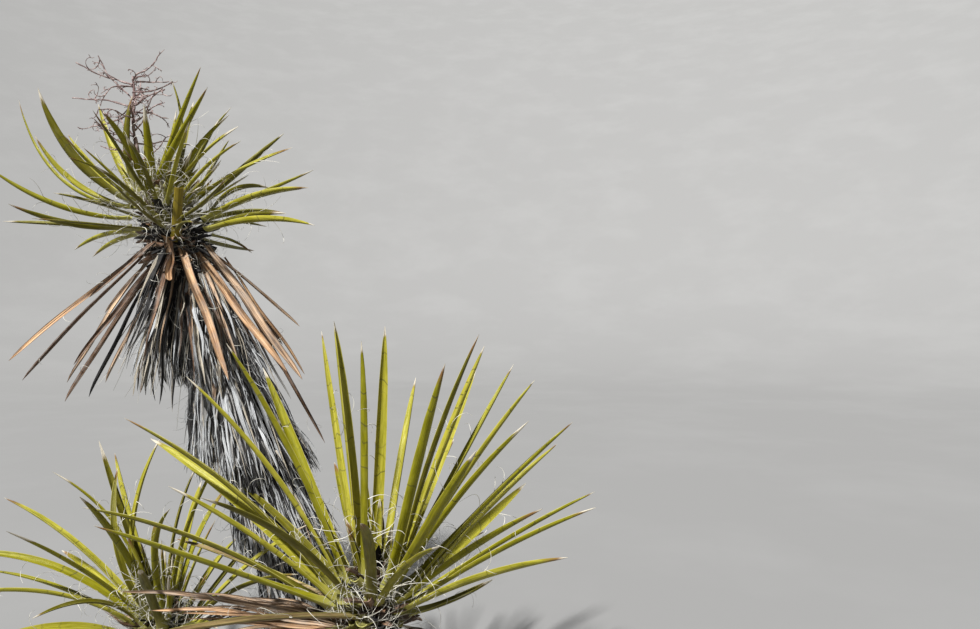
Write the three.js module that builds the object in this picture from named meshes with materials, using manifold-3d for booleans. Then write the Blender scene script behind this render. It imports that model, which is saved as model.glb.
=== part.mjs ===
// A Mojave yucca with three stems from one root crown. A leaning trunk stands in a thatch of old leaves
// and carries a rosette with the dry flower stalk of an earlier year. Two low side stems carry rosettes
// of their own. Millimetres, +Z up, with the origin at the centre of the flat cut under the trunk.
// The side that is seen first faces -Y. A leaf's azimuth is counted from +X towards +Y, and its rise is
// the angle of its chord above the horizontal.
import * as THREE from "three";
import { mergeVertices } from "three/addons/utils/BufferGeometryUtils.js";
import Module from "manifold-3d";

const wasm = await Module();
wasm.setup();

const CLEARANCE = 0.35; // between two pieces that meet
const GROUND_GAP = 12; // between the ground and the lowest tip
const SIDES = 16; // of a stem, a collar or a sleeve
const SEED = 8; // of everything that varies
const WELD = 0.001; // corners closer than this are one
const SLIVER = 0.02; // faces thinner than this are dissolved

const TRUNK = {
  height: 1341, // from the ground to the lowest live leaves
  lean: 510, // how far the top stands towards -X
  bend: 0.06, // the share of the lean that the upper half adds
  radius: 84,
  topRadius: 62,
  flareRadius: 74, // added at the ground
  flareHeight: 170,
  lobes: 5,
  lobeDepth: 0.13,
};
const HEART = { length: 150, tipRadius: 20, collar: 16 }; // the leafy end of a stem
const SIDE_HEART = { length: 128, tipRadius: 18, collar: 15 };
const DOME = 1.5; // height of the cap over a stem's end, in widths of its collar
const ROOT_DEPTH = 0.45; // where in its collar a leaf is rooted, as a share of its width
const LEAF = { width: 41, thick: 8, channel: 7.5 }; // the channel is how far its edges stand up
const DEAD_LEAF = { width: 33, thick: 8, channel: 3, flat: true };
const STRIP = { width: 31, thick: 6.5, channel: 2, flat: true };
const THATCH = { strips: 15, overhang: 70, standOff: 9 };
// The tiers of the thatch from the lowest: their share of its height, how far their upper and lower rims
// stand out, and how far the lower hangs towards -X, where the trunk leans away from under it.
const TIERS = [
  [0.22, 34, 48, 8], [0.26, 34, 56, 12], [0.27, 34, 90, 28], [0.25, 10, 46, 16],
];
const THATCH_BOTTOM = 170;
const SKIRT_WHORLS = 2;
const SKIRT_WHORL = 46; // height of one whorl of tan leaves
const TAN_DROP = 20; // how far their centre lies under the live ones'
const GREY_WHORL = 56; // height of the whorl of grey leaves under them
const STALK = { length: 310, radius: 9, tipRadius: 3, lean: -0.19, branches: 14, branchRadius: 3.2 };

// Leaves that stand out one by one: azimuth, rise, length and arch, the height of the middle above its
// chord. A fifth value of 1 marks a leaf whose end has broken off.
const TOP_LEAVES = [
  [194, 21, 560, -40], [215, 9, 450, -25], [168, 39, 745, -100], [187, 37, 520, -45], [198, 49, 580, -50],
  [151, 35, 680, -20], [148, 49, 640, -25], [215, 74, 445, -30], [160, 88, 505, -50], [317, 71, 530, 0],
  [310, 55, 500, 0], [61, 64, 520, 10], [101, 59, 600, 10], [44, 70, 430, 0], [77, 51, 490, 0],
  [21, 47, 490, 0], [56, 29, 430, 45], [50, 24, 530, 20], [350, 18, 470, 25], [37, 27, 400, 15],
  [10, 15, 340, 15], [344, 9, 400, 15], [333, 1, 560, 25], [30, -9, 240, 10], [157, -3, 450, 25],
  [147, -5, 470, 20], [294, 28, 250, 0, 1],
];
const FRONT_LEAVES = [
  [196, 53, 720, 30], [208, 62, 740, 15], [149, 56, 690, 0], [128, 67, 730, 0], [211, 82, 710, 0],
  [272, 73, 690, 0], [36, 87, 690, 0], [75, 60, 620, 10], [311, 64, 680, 0], [340, 67, 730, 15],
  [10, 66, 700, 0], [37, 61, 680, 0], [39, 51, 740, 0], [357, 54, 690, 10], [338, 49, 630, 15],
  [309, 46, 610, 0], [11, 40, 680, 10], [25, 34, 640, 10], [37, 25, 550, 0], [358, 27, 620, 10],
  [334, 32, 540, 10], [352, 25, 610, 15], [326, 21, 590, 15], [19, 4, 320, -15], [295, 30, 540, 20],
  [175, 35, 790, 45], [164, 30, 760, 40], [195, 34, 570, 15], [182, 19, 750, 40], [204, 23, 670, 0],
  [276, 36, 540, 30], [231, 37, 580, 30],
];
const LEFT_LEAVES = [
  [169, 33, 640, 50], [185, 22, 620, 75], [172, 14, 590, 40], [205, 18, 560, 60], [222, 8, 500, 60],
  [205, 59, 550, 60], [196, 72, 570, 30], [153, 65, 530, 30], [144, 52, 560, 20], [190, 74, 480, 95],
  [180, 88, 545, 50], [294, 56, 490, 60], [67, 76, 460, 25], [50, 63, 430, 30], [148, 14, 560, 30],
  [232, 22, 380, 60],
];
const TAN_LEAVES = [
  [192, -37, 600, 0], [249, -28, 370, 10], [189, -56, 590, 10], [164, -46, 620, 10], [233, -49, 480, 10],
  [229, -60, 530, 15], [149, -50, 590, 10], [143, -25, 510, 0], [139, -62, 550, 10], [115, -55, 550, 10],
  [286, -48, 190, 0, 1], [312, -46, 560, 10], [338, -43, 570, 0], [15, -47, 570, 0], [346, -44, 600, 0],
  [4, -54, 780, 10],
];
const FRONT_DEAD = [
  [188, 9, 600, 30], [178, 1, 560, 20], [201, -6, 470, 20], [165, 0, 580, 30], [217, -16, 390, 10],
  [150, -4, 430, 10], [112, -10, 360, 10], [70, -22, 320, 10], [25, -26, 300, 10], [344, -28, 310, 10],
  [305, -24, 320, 10], [262, -20, 340, 10],
];
const GREY_LEAVES = [
  [185, -66, 395, 10], [202, -70, 380, 10], [217, -75, 400, 20], [238, -76, 345, 25], [262, -76, 330, 30],
  [166, -64, 390, 10], [290, -69, 340, 30], [148, -60, 400, 10], [340, -57, 440, 20], [2, -51, 500, 10],
  [318, -62, 420, 25], [128, -64, 380, 10],
];

// A repeatable stream of numbers from 0 to 1.
function stream(seed) {
  let state = seed >>> 0;
  return () => {
    state = (state + 0x6d2b79f5) >>> 0;
    let t = Math.imul(state ^ (state >>> 15), 1 | state);
    t = (t + Math.imul(t ^ (t >>> 7), 61 | t)) ^ t;
    return ((t ^ (t >>> 14)) >>> 0) / 4294967296;
  };
}

const vec = (x, y, z) => new THREE.Vector3(x, y, z);
const UP = vec(0, 0, 1);
const RAD = Math.PI / 180;
const mix = THREE.MathUtils.lerp;

function direction(azimuth, rise) {
  const flat = Math.cos(rise * RAD);
  return vec(Math.cos(azimuth * RAD) * flat, Math.sin(azimuth * RAD) * flat, Math.sin(rise * RAD));
}

// A closed solid over rings of equal count. A looped solid joins its last ring to its first, and any
// other is capped, or drawn to a point where a ring holds one vector.
function solidOf(rings, looped = false) {
  const count = Math.max(...rings.map((ring) => ring.length));
  const points = [];
  const faces = [];
  const starts = rings.map((ring) => {
    points.push(...ring);
    return points.length - ring.length;
  });
  const spans = looped ? rings.length : rings.length - 1;
  for (let i = 0; i < spans; i++) {
    const j = (i + 1) % rings.length;
    for (let k = 0; k < count; k++) {
      const next = (k + 1) % count;
      const [a, b] = rings[i].length === 1 ? [starts[i], starts[i]] : [starts[i] + k, starts[i] + next];
      const [c, d] = rings[j].length === 1 ? [starts[j], starts[j]] : [starts[j] + next, starts[j] + k];
      if (a !== b) faces.push([a, b, c]);
      if (c !== d) faces.push([a, c, d]);
    }
  }
  if (!looped) {
    const last = rings.length - 1;
    for (let k = 1; k < count - 1; k++) {
      if (rings[0].length > 1) faces.push([starts[0], starts[0] + k + 1, starts[0] + k]);
      if (rings[last].length > 1) faces.push([starts[last], starts[last] + k, starts[last] + k + 1]);
    }
  }
  const volume = faces.reduce(
    (sum, [a, b, c]) => sum + points[a].dot(points[b].clone().cross(points[c])),
    0,
  );
  const order = volume < 0 ? faces.map(([a, b, c]) => [a, c, b]) : faces;
  return new wasm.Manifold(
    new wasm.Mesh({
      numProp: 3,
      vertProperties: new Float32Array(points.flatMap((p) => [p.x, p.y, p.z])),
      triVerts: new Uint32Array(order.flat()),
    }),
  );
}

// The largest body of a solid, with sealed hollows filled and loose scraps dropped.
function whole(solid) {
  return solid.decompose().reduce((best, body) => (body.volume() > best.volume() ? body : best));
}

function ringAt({ centre, normal, radius }, shape = () => 1) {
  const across = vec(1, 0, 0).addScaledVector(normal, -normal.x).normalize();
  const along = normal.clone().cross(across);
  return Array.from({ length: SIDES }, (_, k) => {
    const turn = (2 * Math.PI * k) / SIDES;
    const reach = radius * shape(turn);
    return centre
      .clone()
      .addScaledVector(across, Math.cos(turn) * reach)
      .addScaledVector(along, Math.sin(turn) * reach);
  });
}

const grown = (station, by) => ({ ...station, radius: station.radius + by });

// A sleeve round a stem between stations, wide by out[i] at station i.
function sleeve(stations, out) {
  const inner = stations.map((station) => ringAt(grown(station, CLEARANCE)));
  const outer = stations.map((station, i) => ringAt(grown(station, out[i])));
  return solidOf([...inner, ...outer.reverse()], true);
}

// A sleeve that also closes over the end of a stem.
function cup(at, low, high, out) {
  const foot = at(low + CLEARANCE / 2);
  const lid = grown(at(high + CLEARANCE), CLEARANCE);
  const dome = { ...at(high + DOME * out), radius: 0.6 * lid.radius };
  const inner = [[lid.centre], ringAt(lid), ringAt(grown(foot, CLEARANCE))];
  return solidOf([...inner, ringAt(grown(foot, out)), ringAt(grown(lid, out)), ringAt(dome)]);
}

// The trunk's station at a height. Above its live leaves the axis runs straight on.
function trunkAt(z) {
  const share = Math.min(z / TRUNK.height, 1);
  const past = Math.max(z / TRUNK.height - 1, 0);
  const offset = (1 - TRUNK.bend) * share + TRUNK.bend * share ** 2 + past * (1 + TRUNK.bend);
  const flare = TRUNK.flareRadius * Math.max(0, 1 - z / TRUNK.flareHeight) ** 2;
  const heart = Math.max(0, z - TRUNK.height) / HEART.length;
  const radius = mix(mix(TRUNK.radius, TRUNK.topRadius, share), HEART.tipRadius, heart) + flare;
  return { centre: vec(-TRUNK.lean * offset, 0, z), normal: UP, radius };
}

function trunkSolid(extra = 0) {
  const flareSteps = [0, 0.12, 0.3, 0.55, 1].map((s) => s * TRUNK.flareHeight);
  const heights = [...flareSteps, ...tierHeights.slice(1), ...skirtHeights, TRUNK.height + HEART.length];
  const rings = heights.map((z) => {
    const depth = TRUNK.lobeDepth * Math.max(0, 1 - z / TRUNK.flareHeight);
    return ringAt(grown(trunkAt(z), extra), (turn) => 1 + depth * Math.cos(TRUNK.lobes * turn));
  });
  return solidOf(rings);
}

const skirtBottom = TRUNK.height - SKIRT_WHORLS * SKIRT_WHORL;
const greyBottom = skirtBottom - GREY_WHORL;
const steps = (low, high, count) => Array.from({ length: count + 1 }, (_, i) => mix(low, high, i / count));
const tierHeights = TIERS.reduce(
  (found, [share]) => [...found, found.at(-1) + share * (greyBottom - THATCH_BOTTOM)],
  [THATCH_BOTTOM],
);
const skirtHeights = steps(skirtBottom, TRUNK.height, SKIRT_WHORLS);

// A side stem: leaves the root crown low, runs out and turns up to its heart. Its station is given by
// the distance past the heart, which is negative down the stem.
function sideStem(curve, { radius, rootRadius }) {
  const length = curve.getLength();
  const tangent = curve.getTangentAt(1);
  const end = curve.getPointAt(1);
  return (s) => {
    if (s <= 0) {
      const share = Math.max(0, 1 + s / length);
      return {
        centre: curve.getPointAt(share),
        normal: curve.getTangentAt(share),
        radius: mix(rootRadius, radius, share),
      };
    }
    return {
      centre: end.clone().addScaledVector(tangent, s),
      normal: tangent,
      radius: mix(radius, SIDE_HEART.tipRadius, s / SIDE_HEART.length),
    };
  };
}

const FRONT_CURVE = new THREE.CubicBezierCurve3(
  vec(20, -30, 92),
  vec(120, -300, 98),
  vec(172, -462, 190),
  vec(187, -497, 330),
);
const LEFT_CURVE = new THREE.CubicBezierCurve3(
  vec(-25, -20, 84),
  vec(-270, -155, 76),
  vec(-402, -232, 84),
  vec(-424, -247, 168),
);
const FRONT_HEART = vec(188, -500, 381);
const LEFT_HEART = vec(-427, -250, 210);
const STEM_SPANS = 9; // straight lengths that follow the curve
const FRONT_STEM = { radius: 48, rootRadius: 60 };
const LEFT_STEM = { radius: 42, rootRadius: 54 };
const DEAD_DROP = 36; // how far the dead leaves' centre lies under the live ones'
const frontAt = sideStem(FRONT_CURVE, FRONT_STEM);
const leftAt = sideStem(LEFT_CURVE, LEFT_STEM);

function sideStemSolid(at, curve) {
  const distances = [...steps(-curve.getLength(), 0, STEM_SPANS), SIDE_HEART.length];
  return whole(solidOf(distances.map((s) => ringAt(at(s)))).subtract(trunkSolid(CLEARANCE)));
}

// A blade: a keeled section, channelled above unless the leaf is flat, carried along a bent line.
// u is the way out from the stem, and axis the stem's own direction.
const STATIONS = [0, 0.14, 0.45, 0.78];
const WIDTHS = [0.9, 0.72, 1, 0.62]; // a wide foot, a waist, the broad middle and the taper
const THINNING = 0.4; // the share of its thickness that a leaf loses towards its tip
function blade({ root, tip, arch, axis, u }, form, blunt = false, swell = 0) {
  const side = axis.clone().cross(u).normalize();
  const chord = tip.clone().sub(root);
  const lift = chord.clone().cross(side).normalize();
  const middle = root.clone().add(tip).multiplyScalar(0.5).addScaledVector(lift, 2 * arch);
  const line = new THREE.QuadraticBezierCurve3(root, middle, tip);
  const rings = STATIONS.map((t, i) => {
    const centre = line.getPoint(t);
    const normal = line.getTangent(t).cross(side).normalize();
    const width = form.width * WIDTHS[i] + 2 * swell;
    const thick = form.thick * (1 - THINNING * t) + 2 * swell;
    const channel = form.channel * (0.3 + 0.7 * WIDTHS[i]) + (form.flat ? swell : 0);
    const at = (across, up) => centre.clone().addScaledVector(side, across).addScaledVector(normal, up);
    const edges = [at(-width / 2, channel), at(0, -thick / 2), at(width / 2, channel)];
    return form.flat ? edges : [...edges, at(0, thick / 2)];
  });
  return solidOf(blunt ? rings : [...rings, [tip.clone().addScaledVector(line.getTangent(1), swell)]]);
}

// Everything placed so far, so that a new leaf can be kept clear of it.
const placed = [];

function apart(a, b) {
  return ["x", "y", "z"].some((_, i) => a.min[i] > b.max[i] || a.max[i] < b.min[i]);
}

function touches(solid, node) {
  const box = solid.boundingBox();
  return placed.some(
    (other) =>
      other.node !== node && !apart(box, other.box) && !solid.intersect(other.solid).isEmpty(),
  );
}

function place(node, solid) {
  placed.push({ node, solid, box: solid.boundingBox() });
  return solid;
}

// The whorls of a rosette: collars one above the other round its stem. The last may cap the stem.
function rosette(form) {
  const { name, at, from, to, count, collar, capped = true } = form;
  const bounds = steps(from, to, count);
  const whorls = bounds.slice(0, -1).map((low, i) => {
    const node = `${name}_${i + 1}`;
    const high = bounds[i + 1];
    const stations = [at(low + CLEARANCE / 2), at(high - CLEARANCE / 2)];
    const core = capped && i === count - 1
      ? cup(at, low, high, collar)
      : sleeve(stations, [collar, collar]);
    return { node, low, high, pieces: [place(node, core)] };
  });
  return { ...form, whorls };
}

// Leaves fused to their collars, the most upright on the highest. A leaf that would touch another piece
// grows from the next whorl up or down, and is left out where it touches from there too.
function leafOut({ at, heart, from, to, count, collar, leaves, blade: size, whorls }) {
  const axis = at((from + to) / 2).normal;
  const steep = ({ way }) => way.dot(axis);
  const sorted = [...leaves].sort((a, b) => steep(b) - steep(a));
  const jobs = sorted.map((leaf, rank) => ({ leaf, share: 1 - (rank + 0.5) / sorted.length }));
  jobs.sort((a, b) => Number(a.leaf.extra) - Number(b.leaf.extra));
  for (const { leaf, share } of jobs) {
    const level = Math.floor(share * count);
    const form = { ...size, width: size.width * leaf.broad };
    const tip = heart.clone().addScaledVector(leaf.way, leaf.length);
    const start = leaf.rise + Math.atan2(4 * leaf.arch, leaf.length) / RAD;
    const fits = (whorl) => {
      const { centre, radius } = at(mix(whorl.low, whorl.high, 0.3 + 0.4 * (share * count - level)));
      const u = tip.clone().sub(centre);
      u.addScaledVector(axis, -u.dot(axis)).normalize();
      const foot = (radius + collar * ROOT_DEPTH) * (start > 90 ? -1 : 1);
      const line = { root: centre.clone().addScaledVector(u, foot), tip, arch: leaf.arch, axis, u };
      if (tip.z < GROUND_GAP || touches(blade(line, form, leaf.blunt, CLEARANCE), whorl.node)) return false;
      whorl.pieces.push(place(whorl.node, blade(line, form, leaf.blunt)));
      return true;
    };
    [level, level + 1, level - 1].some((k) => whorls[k] && fits(whorls[k]));
  }
  return whorls.map(({ node, pieces }) => [node, whole(wasm.Manifold.union(pieces))]);
}

// The leaves of a list, with a seeded breadth each.
function listed(rows, random) {
  return rows.map(([azimuth, rise, length, arch, blunt = 0]) => ({
    azimuth, rise, length, arch, blunt: blunt === 1, extra: false,
    way: direction(azimuth, rise), broad: 0.9 + 0.2 * random(),
  }));
}

// Leaves that fill a rosette where none is listed: a spiral of golden angles from upright to drooping.
const GOLDEN = 137.508;
function spiral({ count, rise, length, arch, spacing }, shown, random) {
  const found = [];
  for (let k = 0; k < count; k++) {
    const share = (k + 0.5) / count;
    const leaf = {
      azimuth: (k * GOLDEN + 12 * (random() - 0.5)) % 360,
      rise: mix(rise[0], rise[1], share) + 6 * (random() - 0.5),
      length: mix(length[0], length[1], random()),
      arch: mix(arch[0], arch[1], random()),
      blunt: false, extra: true, broad: 0.85 + 0.25 * random(),
    };
    leaf.way = direction(leaf.azimuth, leaf.rise);
    const near = (other) => leaf.way.angleTo(other.way) < spacing * RAD;
    if (![...shown, ...found].some(near)) found.push(leaf);
  }
  return found;
}

// The thatch: sleeves of old leaf bases round the trunk, each widening downwards, with strips that hang
// from the upper rim and stand off the sleeve.
function thatch(random) {
  return TIERS.map(([, topOut, bottomOut, hang], i) => {
    const node = `thatch_${i + 1}`;
    const low = tierHeights[i];
    const high = tierHeights[i + 1];
    const rim = (z) => {
      const share = (high - z) / (high - low);
      const station = grown(trunkAt(z), mix(topOut, bottomOut, share));
      station.centre.x -= hang * share;
      return station;
    };
    const ends = [low + CLEARANCE / 2, high - CLEARANCE / 2];
    const inner = ends.map((z) => ringAt(grown(trunkAt(z), CLEARANCE)));
    const outer = ends.map((z) => ringAt(rim(z)));
    const pieces = [place(node, solidOf([...inner, ...outer.reverse()], true))];
    for (let k = 0; k < THATCH.strips; k++) {
      const turn = (360 * (k + 0.6 * random())) / THATCH.strips;
      const u = direction(turn, 0);
      const way = direction(turn + 16 * (random() - 0.5), 0);
      const start = rim(mix(low, high, 0.8 + 0.14 * random()));
      const end = rim(low - THATCH.overhang * (0.2 + 0.8 * random()));
      const line = {
        root: start.centre.clone().addScaledVector(u, start.radius - 4),
        tip: end.centre.clone().addScaledVector(way, end.radius + THATCH.standOff),
        arch: THATCH.standOff, axis: UP, u,
      };
      if (line.tip.z < GROUND_GAP || touches(blade(line, STRIP, false, CLEARANCE), node)) continue;
      pieces.push(place(node, blade(line, STRIP)));
    }
    return [node, whole(wasm.Manifold.union(pieces))];
  });
}

const TWIST = 0.9; // how far the heading of a twig may swing at each bend

// A wandering twig of the flower stalk, square in section.
function twig(root, way, length, radius, random) {
  const spots = [root];
  const heading = way.clone();
  for (let k = 0; k < 4; k++) {
    heading.add(vec(random() - 0.5, random() - 0.5, random() - 0.5).multiplyScalar(TWIST)).normalize();
    spots.push(spots[k].clone().addScaledVector(heading, length / 4));
  }
  const side = way.clone().cross(UP).normalize();
  const rings = spots.slice(0, -1).map((spot, k) => {
    const ahead = spots[k + 1].clone().sub(spot).normalize();
    const up = side.clone().cross(ahead).normalize();
    const across = ahead.clone().cross(up);
    const reach = radius * (1 - 0.15 * k);
    return [[1, 1], [-1, 1], [-1, -1], [1, -1]].map(([a, b]) =>
      spot.clone().addScaledVector(across, a * reach).addScaledVector(up, b * reach),
    );
  });
  return solidOf([...rings, [spots[4]]]);
}

function stalkLine() {
  const foot = trunkAt(TRUNK.height + HEART.length + DOME * HEART.collar + CLEARANCE).centre;
  return (share) => foot.clone().add(vec(STALK.lean * share, 0, 1).multiplyScalar(STALK.length * share));
}

function stalkAxis() {
  const line = stalkLine();
  const rings = [0, 0.35, 0.7, 1].map((share) => {
    const radius = mix(STALK.radius, STALK.tipRadius, share);
    return [0, 60, 120, 180, 240, 300].map((turn) => line(share).addScaledVector(direction(turn, 0), radius));
  });
  return solidOf(rings);
}

function stalkBranches(random) {
  const line = stalkLine();
  const found = [];
  for (let k = 0; k < STALK.branches; k++) {
    const share = mix(0.15, 0.99, (k + 0.5) / STALK.branches);
    const length = mix(200, 100, share) * (0.7 + 0.6 * random());
    const way = direction(k * GOLDEN, 45 * random() - 10);
    const one = twig(line(share), way, length, STALK.branchRadius, random);
    if (!touches(one, "flower_stalk")) found.push(place("flower_stalk", one));
  }
  return found;
}

const MATERIALS = {
  bark: new THREE.MeshStandardMaterial({ color: 0x6b5a48, roughness: 0.9, metalness: 0 }),
  live_leaf: new THREE.MeshStandardMaterial({ color: 0x8c9420, roughness: 0.5, metalness: 0 }),
  tan_leaf: new THREE.MeshStandardMaterial({ color: 0xb98a5a, roughness: 0.7, metalness: 0 }),
  grey_leaf: new THREE.MeshStandardMaterial({ color: 0x9a948c, roughness: 0.85, metalness: 0 }),
  dry_stalk: new THREE.MeshStandardMaterial({ color: 0x8a6a58, roughness: 0.8, metalness: 0 }),
};

// The welded geometry of a solid.
function welded(solid) {
  const { numProp, vertProperties, triVerts } = solid.getMesh();
  const positions = new Float32Array((vertProperties.length / numProp) * 3);
  for (let i = 0; i < positions.length / 3; i++)
    positions.set(vertProperties.subarray(i * numProp, i * numProp + 3), i * 3);
  const geometry = new THREE.BufferGeometry();
  geometry.setAttribute("position", new THREE.BufferAttribute(positions, 3));
  geometry.setIndex(new THREE.BufferAttribute(new Uint32Array(triVerts), 1));
  return mergeVertices(geometry, WELD);
}

// A welded body again as a solid, without the crumbs that welding may have split off.
function rewelded(solid) {
  const geometry = welded(solid);
  const mesh = new wasm.Mesh({
    numProp: 3,
    vertProperties: geometry.attributes.position.array,
    triVerts: new Uint32Array(geometry.index.array),
  });
  return whole(new wasm.Manifold(mesh));
}

function meshOf([name, solid], material) {
  const geometry = welded(rewelded(rewelded(solid.simplify(SLIVER))));
  geometry.computeVertexNormals();
  const mesh = new THREE.Mesh(geometry, MATERIALS[material]);
  mesh.name = name;
  return mesh;
}

function stems() {
  return [
    ["trunk", place("trunk", trunkSolid())],
    ["front_stem", place("front_stem", sideStemSolid(frontAt, FRONT_CURVE))],
    ["left_stem", place("left_stem", sideStemSolid(leftAt, LEFT_CURVE))],
  ];
}

function liveRosettes(random) {
  const top = listed(TOP_LEAVES, random);
  const front = listed(FRONT_LEAVES, random);
  const left = listed(LEFT_LEAVES, random);
  const topRule = { count: 70, rise: [84, -6], length: [380, 520], arch: [-25, 25], spacing: 13 };
  const frontRule = { count: 46, rise: [80, 2], length: [520, 690], arch: [0, 25], spacing: 18 };
  const leftRule = { count: 34, rise: [82, 12], length: [430, 580], arch: [10, 60], spacing: 20 };
  return [
    rosette({
      name: "top_leaves", at: (s) => trunkAt(TRUNK.height + s), heart: trunkAt(TRUNK.height).centre,
      from: 0, to: HEART.length, count: 4, collar: HEART.collar, blade: LEAF,
      leaves: [...top, ...spiral(topRule, top, random)],
    }),
    rosette({
      name: "front_leaves", at: frontAt, heart: FRONT_HEART,
      from: 0, to: SIDE_HEART.length, count: 4, collar: SIDE_HEART.collar, blade: { ...LEAF, width: 36 },
      leaves: [...front, ...spiral(frontRule, front, random)],
    }),
    rosette({
      name: "left_leaves", at: leftAt, heart: LEFT_HEART,
      from: 0, to: SIDE_HEART.length, count: 3, collar: SIDE_HEART.collar, blade: { ...LEAF, width: 34 },
      leaves: [...left, ...spiral(leftRule, left, random)],
    }),
  ];
}

function deadRosettes(random) {
  const tan = listed(TAN_LEAVES, random);
  const grey = listed(GREY_LEAVES, random);
  const tanRule = { count: 40, rise: [-32, -66], length: [430, 590], arch: [0, 20], spacing: 13 };
  const greyRule = { count: 26, rise: [-58, -80], length: [320, 460], arch: [10, 30], spacing: 11 };
  const front = listed(FRONT_DEAD, random);
  const leftRule = { count: 14, rise: [2, -12], length: [300, 430], arch: [10, 30], spacing: 18 };
  const shared = { blade: DEAD_LEAF, capped: false };
  return [
    rosette({
      ...shared, name: "tan_skirt", at: trunkAt, heart: trunkAt(TRUNK.height - TAN_DROP).centre,
      from: skirtBottom, to: TRUNK.height, count: SKIRT_WHORLS, collar: 20,
      leaves: [...tan, ...spiral(tanRule, tan, random)],
    }),
    rosette({
      ...shared, name: "grey_skirt", at: trunkAt, heart: trunkAt(greyBottom + GREY_WHORL / 2).centre,
      from: greyBottom, to: skirtBottom, count: 1, collar: 12,
      leaves: [...grey, ...spiral(greyRule, grey, random)],
    }),
    rosette({
      ...shared, name: "front_skirt", at: frontAt, heart: FRONT_HEART.clone().setZ(FRONT_HEART.z - DEAD_DROP),
      from: -FRONT_CURVE.getLength() / STEM_SPANS, to: 0, count: 1, collar: 15,
      leaves: front,
    }),
    rosette({
      ...shared, name: "left_skirt", at: leftAt, heart: LEFT_HEART.clone().setZ(LEFT_HEART.z - DEAD_DROP),
      from: -LEFT_CURVE.getLength() / STEM_SPANS, to: 0, count: 1, collar: 14,
      leaves: spiral(leftRule, [], random),
    }),
  ];
}

const random = stream(SEED);
const plant = new THREE.Group();
const add = (entries, material) => entries.forEach((entry) => plant.add(meshOf(entry, material)));
add(stems(), "bark");
const live = liveRosettes(random);
const dead = deadRosettes(random);
const axisPiece = place("flower_stalk", stalkAxis());
add(thatch(random), "grey_leaf");
add(live.flatMap(leafOut), "live_leaf");
add(dead.slice(0, 1).flatMap(leafOut), "tan_leaf");
add(dead.slice(1, 2).flatMap(leafOut), "grey_leaf");
add(dead.slice(2).flatMap(leafOut), "tan_leaf");
add([["flower_stalk", whole(wasm.Manifold.union([axisPiece, ...stalkBranches(random)]))]], "dry_stalk");

export default plant;
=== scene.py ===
"""A Mojave yucca with three stems from one root crown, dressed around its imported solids.

A leaning trunk stands in a thatch of old leaves. It carries a rosette of sword leaves with a dry flower
stalk, over a skirt of dead leaves. Two low side stems carry rosettes of their own. Metres, +Z up, with
the origin under the trunk at ground level. A leaf's azimuth is counted from +X towards +Y, and its rise
is the angle of its chord above the horizontal. Leaves grow by one rule: rows for those that stand out,
then a spiral of golden angles that fills the gaps between them.
"""

import math

import bpy
import numpy as np
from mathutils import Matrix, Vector, noise


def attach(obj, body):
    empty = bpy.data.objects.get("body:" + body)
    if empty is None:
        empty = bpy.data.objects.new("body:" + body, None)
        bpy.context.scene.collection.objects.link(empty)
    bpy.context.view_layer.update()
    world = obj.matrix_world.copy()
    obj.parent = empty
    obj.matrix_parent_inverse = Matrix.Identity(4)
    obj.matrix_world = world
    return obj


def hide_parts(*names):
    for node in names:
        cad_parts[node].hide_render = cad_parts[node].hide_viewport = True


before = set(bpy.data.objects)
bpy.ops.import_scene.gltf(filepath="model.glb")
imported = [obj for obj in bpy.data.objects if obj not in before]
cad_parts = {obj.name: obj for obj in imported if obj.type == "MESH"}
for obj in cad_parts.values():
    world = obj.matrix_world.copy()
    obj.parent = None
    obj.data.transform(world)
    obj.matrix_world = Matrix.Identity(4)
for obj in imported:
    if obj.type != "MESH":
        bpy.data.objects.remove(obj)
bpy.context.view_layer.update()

UP = np.array([0.0, 0.0, 1.0])
GOLDEN = 137.508
MASK = 0xFFFFFFFF

# Sizes of the stems and of the leafy ends that they carry
TRUNK_HEIGHT = 1.341
TRUNK_LEAN = 0.510
TRUNK_BEND = 0.06  # the share of the lean that the upper half adds
TRUNK_RADIUS = 0.084
TRUNK_TOP_RADIUS = 0.062
FLARE_RADIUS = 0.074
FLARE_HEIGHT = 0.170
LOBES, LOBE_DEPTH = 5, 0.13
HEART_LENGTH, HEART_TIP, HEART_COLLAR = 0.150, 0.020, 0.016
SIDE_HEART_LENGTH, SIDE_HEART_TIP, SIDE_COLLAR = 0.128, 0.018, 0.015
FRONT_CURVE = [
    (0.020, -0.030, 0.092), (0.120, -0.300, 0.098), (0.172, -0.462, 0.190), (0.187, -0.497, 0.330),
]
LEFT_CURVE = [
    (-0.025, -0.020, 0.084), (-0.270, -0.155, 0.076), (-0.402, -0.232, 0.084), (-0.424, -0.247, 0.168),
]
FRONT_RADIUS, FRONT_ROOT_RADIUS = 0.048, 0.060
LEFT_RADIUS, LEFT_ROOT_RADIUS = 0.042, 0.054
FRONT_HEART = np.array([0.188, -0.500, 0.381])
LEFT_HEART = np.array([-0.427, -0.250, 0.210])
STEM_SPANS = 9  # the last of these lengths of a side stem carries its dead leaves
DEAD_DROP = 0.036  # how far their centre lies under the live ones'
TAN_DROP = 0.020
ROOT_DEPTH = 0.45  # where in its collar a leaf is rooted, as a share of its width
SKIRT_WHORL, GREY_WHORL = 0.046, 0.056
SKIRT_BOTTOM = TRUNK_HEIGHT - 2 * SKIRT_WHORL
GREY_BOTTOM = SKIRT_BOTTOM - GREY_WHORL
TAN_COLLAR, GREY_COLLAR, FRONT_DEAD_COLLAR, LEFT_DEAD_COLLAR = 0.020, 0.012, 0.015, 0.014
SCAR_STEP = 0.021  # from one row of leaf scars to the next
BARK_RIDGES, BARK_SWELLS = (70, 70, 14), 22  # how often the bark's relief changes in a metre
BARK_SINK, RIDGE_HEIGHT, SWELL_HEIGHT, SCAR_DEPTH = -0.0035, 0.0028, 0.003, 0.0022

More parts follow.
